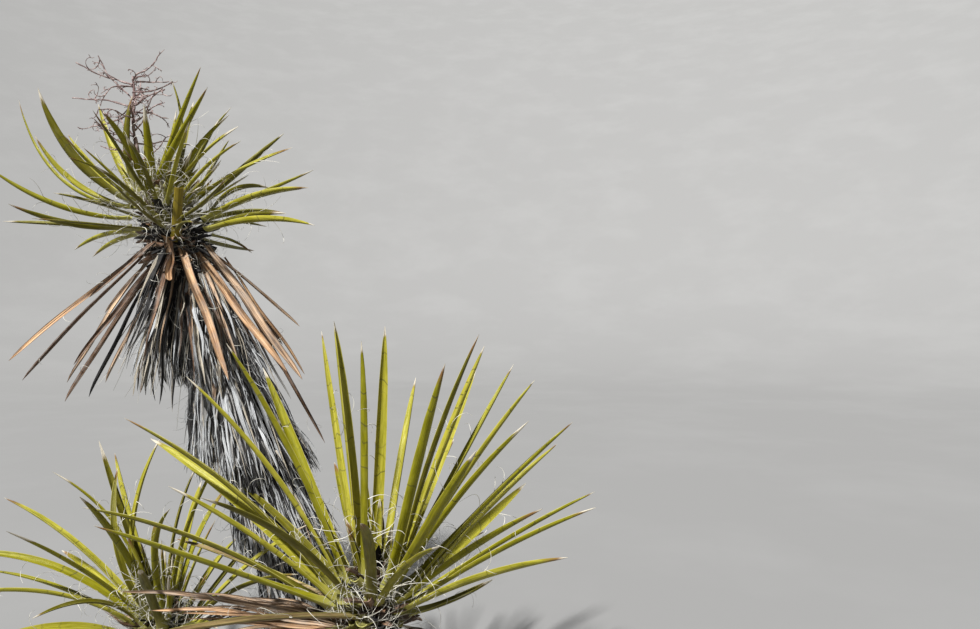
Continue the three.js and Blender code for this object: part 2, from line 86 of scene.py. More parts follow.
# Tiers of the thatch from the lowest: their share of its height, how far their upper and lower rims stand
# out, and how far the lower hangs towards -X
THATCH_BOTTOM = 0.170
TIERS = [(0.22, 0.034, 0.048, 0.008), (0.26, 0.034, 0.056, 0.012), (0.27, 0.034, 0.090, 0.028),
         (0.25, 0.010, 0.046, 0.016)]
STRIPS, STRIP_STRAY = 15, 16  # broad strips of a tier, and degrees over which one may stray
SHREDS_PER_TIER, HAIRS_PER_TIER = 1000, 260
OVERHANG, STAND_OFF = 0.070, 0.009
CORE_DEPTH = 0.012  # how far the dark core lies under the rim
GROUND_GAP = 0.012
GREY_SHREDS = 170  # torn leaves between the thatch and the grey skirt
HANGING_THREADS = 26

# The flower stalk: its path, and long twigs by how high they leave it, azimuth, rise and length
STALK_SHARES = [-0.35, -0.1, 0.15, 0.55, 1]
STALK_PATH = [(-0.545, -0.010, 1.400), (-0.592, -0.030, 1.470), (-0.606, -0.045, 1.560),
              (-0.614, -0.050, 1.690), (-0.622, -0.050, 1.835)]
STALK_RADIUS, STALK_TIP = 0.009, 0.003
STALK_BRANCHES = 14
BRANCH_RADIUS, BRANCH_TIP = 0.0027, 0.0014
LONG_TWIGS = [
    (0.92, 182, 16, .170), (0.78, 176, 40, .170), (0.70, 188, 14, .185), (0.66, 195, -30, .130),
    (0.95, 5, -4, .110), (0.85, 12, 2, .120), (0.72, 350, -2, .140), (0.97, 40, 30, .050),
    (0.55, 35, 40, .110), (0.42, 170, 42, .110), (0.60, 280, 20, .090), (0.80, 95, 15, .110),
]
LONG_TWIG_RADIUS, LONG_TWIG_TIP, LONG_TWIG_STEPS = 0.0031, 0.0016, 14
TWIG_RADIUS = 0.0016
TWIST = 0.9  # how far the heading of a branch may swing at each bend

# Leaves that stand out: azimuth, rise, length and arch. Where a leaf differs from the rest, these follow:
# degrees turned about its length, or 0 for a turn by chance, how broad it is, metres that its foot stands
# aside along X, its finish where that isn't left to chance, and True for one whose end has broken off.
# The paler and the darker greens given to some leaves stand partly for painted sunlight and painted shade
LISTED = {
    "top": [
        (194, 21, .56, -.04, 40, 1.1, -.04, "olive_leaf"), (215, 9, .45, -.025, 35, 1.05, -.04),
        (168, 39, .745, -.1, 40, .85, -.04, "olive_leaf"),
        (187, 37, .52, -.045, -45, .95, -.04, "sunny_leaf"),
        (198, 49, .58, -.05, 55, 1.45, -.03, "deep_leaf"),
        (151, 35, .68, -.02, -40, .9, -.03, "sunny_leaf"),
        (148, 49, .64, -.025, -25, 1, -.03, "sunny_leaf"),
        (215, 74, .445, -.03, 25, 1.15, -.03, "deep_leaf"),
        (160, 88, .505, -.05, 30, .7, -.03, "olive_leaf"), (317, 71, .53, 0, 8, 1.05, -.04, "olive_leaf"),
        (310, 55, .5, 0, 8, 1.1, -.05, "olive_leaf"), (61, 64, .52, .01, -30, .8, 0),
        (101, 59, .6, .01, 15, .9, .03, "deep_leaf"), (44, 70, .43, 0, -30, .9, .02),
        (77, 51, .49, 0, -30, 1.1, .05, "deep_leaf"), (21, 47, .49, 0, -35, 1, .06),
        (56, 29, .43, .045, -50, 1, .06, "deep_leaf"), (50, 24, .53, .02, -35, .9, .05),
        (350, 18, .47, .025, -35, 1.1, .05, "sunny_leaf"), (37, 27, .4, .015, -40, .9, .05),
        (10, 15, .34, .015, -40, .8, .04), (344, 9, .4, .015, -45, .9, .04),
        (333, 1, .56, .025, -45, 1, .05, "sunny_leaf"), (30, -9, .24, .01, 20, .7, .03, "deep_leaf"),
        (157, -3, .45, .025, 30, .9, -.04, "sunny_leaf"), (147, -5, .47, .02, 30, .8, -.04, "sunny_leaf"),
        (294, 28, .25, 0, 4, 1.45, 0, "amber_leaf", True),
    ],
    "front": [
        (196, 53, .72, .03, 35, .95, -.03, "sunny_leaf"), (208, 62, .74, .015, 30, 1.1, -.03),
        (149, 56, .69, 0, -20, 1, -.03, "olive_leaf"), (128, 67, .73, 0, -25, .75, -.02, "sunny_leaf"),
        (211, 82, .71, 0, 15, 1.05, -.01, "sunny_leaf"), (272, 73, .69, 0, 5, 1.1, 0, "olive_leaf"),
        (36, 87, .69, 0, 10, 1, 0), (75, 60, .62, .01, -30, .75, .01, "sunny_leaf"),
        (311, 64, .68, 0, -10, 1.15, .01), (340, 67, .73, .015, -30, 1, .02),
        (10, 66, .7, 0, -30, 1.05, .02), (37, 61, .68, 0, 25, .8, .02, "sunny_leaf"),
        (39, 51, .74, 0, -30, .8, .02, "olive_leaf"), (357, 54, .69, .01, -35, 1.05, .02),
        (338, 49, .63, .015, -30, 1, .02), (309, 46, .61, 0, -15, 1.1, .02),
        (11, 40, .68, .01, -35, 1, .03), (25, 34, .64, .01, -30, .95, .03),
        (37, 25, .55, 0, 30, .95, .03, "sunny_leaf"), (358, 27, .62, .01, -35, .9, .03),
        (334, 32, .54, .01, -30, 1, .03), (352, 25, .61, .015, -30, .95, .03),
        (326, 21, .59, .015, -25, 1.05, .03, "sunny_leaf"), (19, 4, .32, -.015, -20, .9, .03),
        (295, 30, .54, .02, 5, .7, 0, "olive_leaf"), (175, 35, .79, .045, 35, 1.1, -.03),
        (164, 30, .76, .04, -35, 1.05, -.03, "sunny_leaf"),
        (195, 34, .57, .015, 35, 1, -.03, "sunny_leaf"), (182, 19, .75, .04, 35, 1.1, -.03),
        (204, 23, .67, 0, 30, 1.15, -.03), (276, 36, .54, .03, 5, 1.05, 0, "deep_leaf"),
        (231, 37, .58, .03, 25, 1.1, -.02, "deep_leaf"),
    ],
    "left": [
        (169, 33, .64, .05, 25, .95, 0, "sunny_leaf"), (185, 22, .62, .075, -30, .85, 0, "olive_leaf"),
        (172, 14, .59, .04, 25, .9, 0, "olive_leaf"), (205, 18, .56, .06, 30, 1.1, 0, "sunny_leaf"),
        (222, 8, .5, .06, -30, 1, 0, "sunny_leaf"), (205, 59, .55, .06, 20, .8, 0, "olive_leaf"),
        (196, 72, .57, .03, 15, .75, 0, "deep_leaf"), (153, 65, .53, .03, -20, .8, 0, "sunny_leaf"),
        (144, 52, .56, .02, -25, .8, 0, "olive_leaf"), (190, 74, .48, .095, 20, .8, 0, "deep_leaf"),
        (180, 88, .545, .05, 10, .85, 0, "sunny_leaf"), (294, 56, .49, .06, 5, .85, 0, "olive_leaf"),
        (67, 76, .46, .025, -20, .8, 0, "deep_leaf"), (50, 63, .43, .03, 20, .8, 0, "olive_leaf"),
        (148, 14, .56, .03, -30, .85, 0, "sunny_leaf"), (232, 22, .38, .06, -25, .75, 0, "deep_leaf"),
    ],
    "tan": [
        (192, -37, .6, 0, -65, .75, -.01, "orange_leaf"),
        (249, -28, .37, .01, -55, .65, -.01, "brown_leaf"), (189, -56, .59, .01, 30, .85, 0, "brown_leaf"),
        (164, -46, .62, .01, -65, .85, -.01, "tan_leaf"), (233, -49, .48, .01, -60, .7, 0, "brown_leaf"),
        (229, -60, .53, .015, 30, .9, 0, "charcoal_leaf"), (149, -50, .59, .01, -65, 1.05, 0, "tan_leaf"),
        (143, -25, .51, 0, -65, .9, 0, "tan_leaf"), (139, -62, .55, .01, 25, 1, 0, "brown_leaf"),
        (115, -55, .55, .01, 20, .9, 0, "straw_leaf"), (286, -48, .19, 0, 3, 1.15, 0, "orange_leaf", True),
        (312, -46, .56, .01, 25, .98, -.022, "orange_leaf"),
        (338, -43, .57, 0, 60, 1.15, -.018, "orange_leaf"),
        (15, -47, .57, 0, 45, .65, .055, "orange_leaf"), (346, -44, .6, 0, 50, 1.25, .02, "tan_leaf"),
        (4, -54, .78, .01, -60, .7, .03, "brown_leaf"),
    ],
    "grey": [
        (185, -66, .395, .01), (202, -70, .38, .01), (217, -75, .4, .02), (238, -76, .345, .025),
        (262, -76, .33, .03), (166, -64, .39, .01), (290, -69, .34, .03), (148, -60, .4, .01),
        (340, -57, .44, .02), (2, -51, .5, .01), (318, -62, .42, .025), (128, -64, .38, .01),
    ],
    "front_dead": [
        (188, 9, .6, .03, -65, .8, 0, "tan_leaf"), (178, 1, .56, .02, -50, .8, 0, "orange_leaf"),
        (201, -6, .47, .02, -65, 1, 0, "orange_leaf"), (165, 0, .58, .03, -60, .75, 0, "tan_leaf"),
        (217, -16, .39, .01, -60, 1.1, 0, "orange_leaf"), (150, -4, .43, .01, -65, .9, 0, "tan_leaf"),
        (112, -10, .36, .01), (70, -22, .32, .01), (25, -26, .3, .01), (344, -28, .31, .01),
        (305, -24, .32, .01), (262, -20, .34, .01),
    ],
}
PLAIN_MANNER = [0, 1, 0, None, False]

# The leaves between them: how many are tried, and their rise, length, arch and least spacing in degrees
SPIRALS = {
    "top": (70, (84, -6), (0.380, 0.520), (-0.025, 0.025), 13),
    "front": (46, (80, 2), (0.520, 0.690), (0, 0.025), 18),
    "left": (34, (82, 12), (0.430, 0.580), (0.010, 0.060), 20),
    "tan": (40, (-32, -66), (0.430, 0.590), (0, 0.020), 13),
    "grey": (26, (-58, -80), (0.320, 0.460), (0.010, 0.030), 11),
    "left_dead": (14, (2, -12), (0.300, 0.430), (0.010, 0.030), 18),
}
AZIMUTH_STRAY, RISE_STRAY = 12, 6  # degrees over which such a leaf may stray
BROKEN_TOP_LEAF = (-0.475, -0.075, 1.322), (-0.427, -0.158, 1.518)  # the root and tip of one that is broken
BROKEN_TAN_LEAF = (-0.495, -0.080, 1.335), (-0.437, -0.202, 1.159)
BROKEN_SHARE = 0.78  # how much of its length a broken leaf keeps
LOW_RISE = 14  # degrees above the level under which a leaf counts as low
FRONT_SIDE, FRONT_SIDE_BREADTH = -0.5, 0.62  # leaves of the top's spiral that point this far to -Y are narrow
WITHERED_BREADTH = 0.6
TAN_ARCH = 0.3  # how much of its arch a leaf keeps when it dries
INNER_ARCH, INNER_SPACING, INNER_WHORLS, INNER_BREADTH = (-0.01, 0.012), 5, 3, 0.6
STRAND_SPREAD, GREY_STRAND_SPREAD, TAN_STRAND_SPREAD = 0.03, 0.022, 0.018
SMOOTHED = 48  # degrees between two faces up to which their edge looks smooth

# Sections of a blade from edge to edge, and its outlines: places along it and its breadth there
ACROSS = np.array([-1, -0.95, -0.62, -0.3, 0, 0.3, 0.62, 0.95, 1])
STRIP_ACROSS = np.array([-1, 0, 1])
SWORD_STOPS = [0, 0.04, 0.11, 0.25, 0.45, 0.6, 0.78, 0.9, 0.96, 1]
SWORD = (SWORD_STOPS, [1.6, 1.15, 0.93, 0.94, 1, 0.98, 0.82, 0.52, 0.26, 0.03])
SLENDER = (SWORD_STOPS, [1.6, 1.15, 0.93, 0.95, 1, 0.94, 0.72, 0.40, 0.19, 0.02])
DRY = ([0, 0.05, 0.2, 0.5, 0.75, 0.9, 0.97, 1], [1.05, 0.95, 0.95, 1, 0.96, 0.74, 0.4, 0.04])
BROKEN = ([0, 0.04, 0.11, 0.25, 0.45, 1], [1.7, 1.2, 0.95, 1, 1, 0.9])
BASE = ([0, 0.3, 0.6, 0.85, 1], [1.1, 1, 0.8, 0.5, 0.12])
RAG = ([0, 0.1, 0.3, 0.6, 0.85, 1], [0.6, 0.9, 1, 0.8, 0.5, 0.08])

# Blades: the rings along them, their width and thickness, how far they roll up at foot and tip, how far they
# twist and wave, and the length of a live leaf's brown tip
LIVE_BLADE = dict(stations=24, thick=0.0055, roll=(1.1, 1.35), twist=1.0, profile=SWORD, browned=(0.02, 0.06))
DRY_BLADE = dict(stations=18, width=0.028, thick=0.0022, roll=(0.7, 1.25), twist=1.4, wave=0.005, crease=0.45,
                 profile=DRY)
LOW_BLADE = dict(DRY_BLADE, width=0.019, wave=0.010)
POINTED_BLADE = dict(DRY_BLADE, width=0.015, wave=0.012, thick=0.0015)
FRAYED = dict(DRY_BLADE, stations=12, width=0.0105, thick=0.001, roll=(0.6, 1.2), wave=0.008, profile=RAG,
              across=STRIP_ACROSS)
BASE_BLADE = dict(stations=7, width=0.034, thick=0.003, roll=(0.7, 1.2), twist=0.8, profile=BASE)
BASE_LENGTH = (0.03, 0.10)
TORN = dict(stations=11, thick=0.0008, profile=RAG, turned_over=0.5, across=STRIP_ACROSS)
STRIP = dict(TORN, width=0.013, thick=0.0012, roll=(0.5, 1.0), twist=1.2, wave=0.006)
SHRED = dict(TORN, width=0.0064, roll=(0.6, 1.2), twist=2.0, wave=0.004)
GREY_SHRED = dict(TORN, stations=13, width=0.010, roll=(0.5, 1.1), twist=2.5, wave=0.009)

# Fibres that peel off a leaf: how many it has, their length and curl, and how far up it they start. Then the
# radius of each kind of thread at its root and at its tip.
LEAF_CURLS = [(6, (0.02, 0.11), (0.02, 0.45), 0.75), (4, (0.05, 0.17), (0.12, 0.55), 0.3)]
BASE_CURLS = (3, (0.02, 0.09), (0.1, 0.6), 0.9)
DEAD_CURLS = ((0.02, 0.08), (0.02, 0.4), 1.0)
LIVE_FIBRE, DEAD_FIBRE = (0.0009, 0.0003), (0.0007, 0.0003)
HAIR, HANGING_THREAD = (0.0008, 0.0003), (0.0011, 0.0005)

# The finishes of the live and the dead leaves, and the shares of them in each mass
LIVE_FINISHES = ("amber_leaf", "withered_leaf", "olive_leaf", "sunny_leaf", "deep_leaf", "leaf_margin")
DEAD_FINISHES = ("tan_leaf", "orange_leaf", "brown_leaf", "straw_leaf", "silver_leaf", "ash_leaf",
                 "charcoal_leaf", "curled_fibre")
# The charcoal share of each mass is partly painted shade: near-black strands and bases that stand for the
# gaps between lit ones
THATCH_SHADES = dict(silver_leaf=0.43, ash_leaf=0.15, charcoal_leaf=0.33, straw_leaf=0.08, tan_leaf=0.01)
TAN_SHADES = dict(tan_leaf=0.5, orange_leaf=0.22, brown_leaf=0.28)
WORN_SHADES = dict(brown_leaf=0.35, charcoal_leaf=0.35, straw_leaf=0.18, tan_leaf=0.12)
LOW_SHADES = dict(brown_leaf=0.35, tan_leaf=0.25, straw_leaf=0.25, charcoal_leaf=0.15)
GREY_SHADES = dict(ash_leaf=0.20, charcoal_leaf=0.30, silver_leaf=0.10, straw_leaf=0.40)
DARK_SHADES = dict(charcoal_leaf=0.55, ash_leaf=0.20, straw_leaf=0.25)
SHRED_SHADES = dict(silver_leaf=0.35, straw_leaf=0.22, ash_leaf=0.2, charcoal_leaf=0.18, brown_leaf=0.05)
OLD_LEAF_BASES = (-0.10, 110, (-50, 20), dict(charcoal_leaf=0.6, brown_leaf=0.3, tan_leaf=0.1))
TOP_BASES = dict(leaf_base=0.2, brown_leaf=0.2, straw_leaf=0.05, charcoal_leaf=0.55)
SIDE_BASES = dict(leaf_base=0.45, brown_leaf=0.2, straw_leaf=0.05, charcoal_leaf=0.3)

# The rosettes: their whorls, how far their feet splay, their blade and greens, then the number, rise, length
# and lowest root of their inner leaves, and the lowest root, number, rise and shades of their leaf bases
# Of their greens, the paler is partly painted sunlight and the darker partly painted shade
ROSETTES = {
    "top": dict(
        whorls=4, splay=1.3, blade=dict(LIVE_BLADE, width=0.0275, profile=SLENDER),
        greens=dict(olive_leaf=0.35, sunny_leaf=0.22, deep_leaf=0.43),
        inner=(36, (88, 40), (0.18, 0.36), 0.06), bases=(0.01, 100, (20, 75), TOP_BASES)),
    "front": dict(
        whorls=4, splay=1.2, blade=dict(LIVE_BLADE, width=0.037),
        greens=dict(olive_leaf=0.55, sunny_leaf=0.30, deep_leaf=0.15),
        inner=(9, (88, 60), (0.15, 0.34), 0.05), bases=(-0.06, 110, (-20, 70), SIDE_BASES)),
    "left": dict(
        whorls=3, splay=1.2, blade=dict(LIVE_BLADE, width=0.030, browned=(0.02, 0.07)),
        greens=dict(olive_leaf=0.45, sunny_leaf=0.30, deep_leaf=0.25),
        inner=(14, (88, 50), (0.16, 0.34), 0.05), bases=(-0.06, 100, (-20, 70), SIDE_BASES)),
}

# The seed of the solids, and what each finer detail adds to it, so that a change to one moves no other
SEED = 8
SEEDS = {
    "top_rosette": 1, "front_rosette": 2, "left_rosette": 3, "tan_skirt": 4, "grey_skirt": 5,
    "front_skirt": 6, "left_skirt": 7, "grey_shreds": 8, "top_inner_leaves": 11, "front_inner_leaves": 12,
    "left_inner_leaves": 13, "thatch_tier_1": 21, "thatch_tier_2": 22, "thatch_tier_3": 23,
    "thatch_tier_4": 24, "old_leaf_bases": 31, "top_leaf_bases": 32, "front_leaf_bases": 33,
    "left_leaf_bases": 34, "grey_strands": 50, "tan_strands": 51, "front_strands": 52, "left_strands": 53,
    "flower_stalk": 60,
}

# The camera, level, in metres and millimetres, and the light: its azimuth, height and softness in degrees
EYE = (0.482, -2.4, 1.1)
FOCAL_LENGTH, FILM_WIDTH = 28, 36
KEY_AZIMUTH, KEY_HEIGHT, KEY_SOFTNESS, KEY_POWER = 242, 50, 4, 7.4
SKY_COLOUR, SKY_STRENGTH = (0.86, 0.90, 0.95), 0.24
FLOOR_MIDDLE, FLOOR_REACH, SWEEP_RADIUS = 3, 9, 14  # flat to its reach, then swept up on a radius
BACKDROP_REACH, BACKDROP_RISE = 55, 30

# Finishes
LEAF_SPACING = 7  # from one blade's pattern to the next, in widths
GREEN_GLEAM = (0.90, 0.88, 0.50)  # what a live leaf's wax mirrors of a white light
STAIN = 0.35  # how bright a stain is beside the leaf's dark fibres
# The first colour is that of the painted shadow lines that cross a live leaf
CROSS_SHADOW_BROWN, TIP_BROWN = (0.05, 0.045, 0.015), (0.17, 0.085, 0.03)
FOOT_YELLOW, TIP_BLEACHED = (0.42, 0.40, 0.13), (0.52, 0.47, 0.38)


# The rule by which stems and leaves grow

def mix(a, b, t):
    return a + (b - a) * t


def unit(v):
    """Vectors at length 1, along the last axis."""
    v = np.asarray(v, float)
    return v / np.linalg.norm(v, axis=-1, keepdims=True)


def direction(azimuth, rise):
    a, r = np.radians(azimuth), np.radians(rise)
    return np.stack([np.cos(a) * np.cos(r), np.sin(a) * np.cos(r), np.sin(r) + 0 * a], -1)


def stream(seed):
    """A repeatable stream of numbers from 0 to 1, the one that the solids grow by."""
    state = seed

    def draw():
        nonlocal state
        state = (state + 0x6D2B79F5) & MASK
        t = ((state ^ (state >> 15)) * (1 | state)) & MASK
        t = ((t + (t ^ (t >> 7)) * (61 | t)) & MASK) ^ t
        return ((t ^ (t >> 14)) & MASK) / (MASK + 1)

    return draw


def trunk_at(z):
    """The trunk's centre, direction and radius at a height, or at an array of them."""
    z = np.asarray(z, float)
    share = np.minimum(z / TRUNK_HEIGHT, 1)
    past = np.maximum(z / TRUNK_HEIGHT - 1, 0)
    offset = (1 - TRUNK_BEND) * share + TRUNK_BEND * share**2 + past * (1 + TRUNK_BEND)
    flare = FLARE_RADIUS * np.maximum(0, 1 - z / FLARE_HEIGHT) ** 2
    heart = np.maximum(0, z - TRUNK_HEIGHT) / HEART_LENGTH
    radius = mix(mix(TRUNK_RADIUS, TRUNK_TOP_RADIUS, share), HEART_TIP, heart) + flare
    return np.stack([-TRUNK_LEAN * offset, 0 * z, z], -1), UP, radius


def trunk_past(s):
    """The same at a distance past the trunk's heart."""
    return trunk_at(TRUNK_HEIGHT + s)


class SideStem:
    """A stem that leaves the root crown low, runs out and turns up to its heart."""

    def __init__(self, corners, radius, root_radius):
        self.corners = np.array(corners)
        self.radius, self.root_radius = radius, root_radius
        self.shares = np.linspace(0, 1, 201)
        spots = np.array([self.spot(t) for t in self.shares])
        steps = np.linalg.norm(np.diff(spots, axis=0), axis=1)
        self.run = np.concatenate([[0], np.cumsum(steps)])
        self.length = self.run[-1]

    def spot(self, t):
        a, b, c, d = self.corners
        return (1 - t) ** 3 * a + 3 * (1 - t) ** 2 * t * b + 3 * (1 - t) * t * t * c + t**3 * d

    def way(self, t):
        a, b, c, d = self.corners
        return unit((1 - t) ** 2 * (b - a) + 2 * (1 - t) * t * (c - b) + t * t * (d - c))

    def at(self, s):
        """Its centre, direction and radius at a distance past its heart."""
        if s > 0:
            radius = mix(self.radius, SIDE_HEART_TIP, s / SIDE_HEART_LENGTH)
            return self.corners[3] + self.way(1) * s, self.way(1), radius
        share = max(0, 1 + s / self.length)
        t = np.interp(share * self.length, self.run, self.shares)
        return self.spot(t), self.way(t), mix(self.root_radius, self.radius, share)


def listed(rows, draw):
    """The leaves of a list, with a seeded breadth each."""
    leaves = []
    for azimuth, rise, length, arch, *manner in rows:
        turned, breadth, aside, finish, broken = manner + PLAIN_MANNER[len(manner):]
        leaves.append(dict(
            rise=rise, length=length, arch=arch, turned=turned, aside=aside, finish=finish, blunt=broken,
            way=direction(azimuth, rise), broad=breadth * (0.9 + 0.2 * draw())))
    return leaves


def spiral(count, rise, length, arch, spacing, shown, draw):
    """Leaves in a spiral of golden angles, where no shown leaf is near."""
    found = []
    least = math.cos(math.radians(spacing))
    for k in range(count):
        share = (k + 0.5) / count
        azimuth = k * GOLDEN + AZIMUTH_STRAY * (draw() - 0.5)
        leaf = dict(rise=mix(*rise, share) + RISE_STRAY * (draw() - 0.5), length=mix(*length, draw()),
                    arch=mix(*arch, draw()), blunt=False, turned=0, aside=0, broad=0.85 + 0.25 * draw())
        leaf["way"] = direction(azimuth, leaf["rise"])
        if all(np.dot(leaf["way"], other["way"]) <= least for other in shown + found):
            found.append(leaf)
    return found


def rooted(leaves, at, heart, low, high, count, collar, spread=1):
    """Each leaf's line from its stem to its tip. The most upright leaf is rooted in the highest whorl."""
    axis = at((low + high) / 2)[1]
    whorl = (high - low) / count
    lines = []
    for rank, leaf in enumerate(sorted(leaves, key=lambda one: -np.dot(one["way"], axis))):
        share = (1 - (rank + 0.5) / len(leaves)) * count
        level = int(share)
        centre, _, radius = at(low + whorl * (level + 0.3 + 0.4 * (share - level)))
        tip = heart + leaf["way"] * leaf["length"]
        out = tip - centre
        out = unit(out - axis * np.dot(out, axis))
        start = leaf["rise"] + math.degrees(math.atan2(4 * leaf["arch"], leaf["length"]))
        foot = spread * (radius + collar * ROOT_DEPTH) * (-1 if start > 90 else 1)
        root = centre + out * foot + np.array([leaf["aside"], 0, 0])
        lines.append(line_of(root, tip, leaf["arch"], np.cross(axis, out), leaf))
    return lines


def line_of(root, tip, arch, side, leaf):
    """A bent line from root to tip whose middle stands an arch over its chord."""
    side = unit(side)
    lift = unit(np.cross(tip - root, side))
    return dict(leaf, root=root, tip=tip, middle=(root + tip) / 2 + lift * 2 * arch, side=side)


def straighten_broken(lines, root, tip):
    """Makes the line of the leaf that has broken off run straight between two places."""
    line = next(line for line in lines if line["blunt"])
    root, tip = np.array(root), np.array(tip)
    line.update(root=root, tip=tip, middle=(root + tip) / 2)


# Blades and threads, gathered into one mesh for each mass

def standing(title, data):
    """A new object of the scene."""
    made = bpy.data.objects.new(title, data)
    bpy.context.scene.collection.objects.link(made)
    return made


class Sheaf:
    """Blades of one mass, each with the finishes of its faces."""

    def __init__(self, *finishes):
        self.finishes = finishes
        self.points, self.spots, self.ends, self.faces, self.shades = [], [], [], [], []
        self.corners, self.blades = 0, 0

    def shade(self, *names):
        return np.array([self.finishes.index(name) for name in names])

    def add(self, rings, shades, across=None, along=None, ends=None):
        """rings is (blade, station, corner, 3) and shades (blade, station - 1, corner)."""
        blades, stations, corners = rings.shape[:3]
        shades = np.broadcast_to(shades, (blades, stations - 1, corners))
        grid = self.corners + np.arange(blades * stations * corners).reshape(blades, stations, corners)
        turned = np.roll(grid, -1, axis=2)
        quads = np.stack([grid[:, :-1], grid[:, 1:], turned[:, 1:], turned[:, :-1]], -1)
        for faces, finish in ((quads.reshape(-1, 4), shades.reshape(-1)), (grid[:, 0], shades[:, 0, 1]),
                              (grid[:, -1, ::-1], shades[:, -1, 1])):
            self.faces += faces.tolist()
            self.shades += finish.tolist()
        if across is None:
            across = np.arange(corners) / corners
        if along is None:
            steps = np.diff(rings[:, :, 0], axis=1, prepend=rings[:, :1, 0])
            along = np.cumsum(np.linalg.norm(steps, axis=2), axis=1)
        numbers = LEAF_SPACING * (self.blades + np.arange(blades))
        u = np.broadcast_to(numbers[:, None, None] + across, (blades, stations, corners))
        v = np.broadcast_to(along[:, :, None], (blades, stations, corners))
        if ends is None:
            ends = 9 + 0 * along
        ends = np.broadcast_to(ends[:, :, None], (blades, stations, corners))
        self.points.append(rings.reshape(-1, 3))
        self.spots.append(np.stack([u, v], -1).reshape(-1, 2))
        self.ends.append(np.stack([ends, 0 * ends], -1).reshape(-1, 2))
        self.corners += blades * stations * corners
        self.blades += blades

    def add_threads(self, paths, radii, finish):
        """Round threads along paths, which taper from one radius to the other."""
        self.add(threads(paths, np.linspace(*radii, paths.shape[1])), self.shade(finish)[0])

    def dealt(self, lines, shades, rng):
        """A finish for each blade: its own where it has one, or else one dealt out by its mass's shares."""
        chosen = rng.choice(self.shade(*shades), len(lines), p=list(shades.values()))
        for number, line in enumerate(lines):
            if line.get("finish"):
                chosen[number] = self.shade(line["finish"])[0]
        return chosen

    def piece(self, title, slot, *nodes):
        """The mesh, riding on the plant and standing for its nodes."""
        mesh = bpy.data.meshes.new(title)
        mesh.from_pydata(np.concatenate(self.points).tolist(), [], self.faces)
        corner = np.empty(len(mesh.loops), np.int32)
        mesh.loops.foreach_get("vertex_index", corner)
        for name, values in (("along_leaf", self.spots), ("to_tip", self.ends)):
            layer = mesh.uv_layers.new(name=name)
            layer.uv.foreach_set("vector", np.concatenate(values)[corner].astype(np.float32).ravel())
        for finish in self.finishes:
            mesh.materials.append(FINISHES[finish])
        mesh.polygons.foreach_set("material_index", self.shades)
        mesh.polygons.foreach_set("use_smooth", [True] * len(mesh.polygons))
        mesh.set_sharp_from_angle(angle=math.radians(SMOOTHED))
        made = standing(title, mesh)
        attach(made, "root")
        if nodes:
            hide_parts(*nodes)


def channel(rolled, across, crease):
    """A section's points and slopes: rolled up evenly, or with a low crease folded along its middle."""
    between = (across[1:] + across[:-1]) / 2
    lean = rolled * np.sign(between) * np.abs(between) ** crease
    steps = np.stack([np.cos(lean), np.sin(lean)]) * np.diff(across)
    spots = np.concatenate([0 * steps[..., :1], np.cumsum(steps, axis=-1)], -1)
    spots = spots - spots[..., len(across) // 2][..., None]
    return spots, rolled * np.sign(across) * np.abs(across) ** crease


def blades(lines, form, rng):
    """Rings of blades along lines: a section rolled up at its edges, with a twist and a wave.

    Returns them with each corner's place across its blade, and each ring's distance from the foot and to
    the tip. The last is counted in lengths of the blade's brown tip.
    """
    count, across = len(lines), form.get("across", ACROSS)
    keys = ("root", "middle", "tip", "side", "blunt", "broad")
    root, middle, tip, side, blunt, broad = (np.array([line[key] for line in lines])[:, None] for key in keys)
    t = 1 - (1 - np.linspace(0, 1, form["stations"])) ** 1.1
    t = np.where(blunt, BROKEN_SHARE * t, t)
    s = t[..., None]
    centre = (1 - s) ** 2 * root + 2 * s * (1 - s) * middle + s * s * tip
    ahead = unit((1 - s) * (middle - root) + s * (tip - middle))
    side = np.broadcast_to(side, centre.shape)
    up = unit(np.cross(ahead, side))
    if form.get("wave"):
        swing = form["wave"] * rng.uniform(0.3, 1, (count, 1, 2)) * np.sin(np.pi * s)
        phase = 2 * np.pi * (rng.uniform(0.5, 1.5, (count, 1, 2)) * s + rng.random((count, 1, 2)))
        bends = swing * np.sin(phase)
        centre = centre + side * bends[..., :1] + up * bends[..., 1:]
    turned = np.radians([line["turned"] for line in lines])[:, None, None]
    turn = form["twist"] * rng.normal(0, 0.5, (count, 1, 1)) * s**1.2
    turn = np.where(turned, turned * np.minimum(1, 2.5 * s), turn)
    side, up = side * np.cos(turn) + up * np.sin(turn), up * np.cos(turn) - side * np.sin(turn)
    share = np.where(blunt, np.interp(t, *BROKEN), np.interp(t, *form["profile"]))
    width = (form["width"] * broad * share)[..., None]
    rolled = mix(*form["roll"], s) * rng.uniform(0.85, 1.15, (count, 1, 1))
    facing = np.where(rng.random((count, 1, 1)) < form.get("turned_over", 0), -1, 1)
    (flat, rise), lean = channel(rolled, across, form.get("crease", 1))
    flat, rise = flat * width / 2, facing * rise * width / 2
    tilt, level = -facing * np.sin(lean), np.cos(lean)
    thick = form["thick"] * (1 - 0.5 * s) * np.minimum(1, 4 * share[..., None]) / 2
    half = thick * (1 - np.abs(across) ** 3) + 0.0002
    half[..., [0, -1]] = 0
    above = (flat + tilt * half, rise + level * half)
    below = (flat - tilt * half, rise - level * half)
    x, y = (np.concatenate([a, b[..., -2:0:-1]], -1)[..., None] for a, b in zip(above, below))
    rings = centre[:, :, None] + side[:, :, None] * x + up[:, :, None] * y
    places = (np.concatenate([across, across[-2:0:-1]]) + 1) / 2
    length = np.linalg.norm(np.diff(centre, axis=1), axis=2).sum(1, keepdims=True)
    browned = rng.uniform(*form.get("browned", (0.001, 0.002)), (count, 1))
    return rings, places, t * length, (1 - t) * length / browned


def ring_turns(corners):
    """Angles of a ring's corners, in the order that turns its faces outwards."""
    return -2 * np.pi * np.arange(corners) / corners


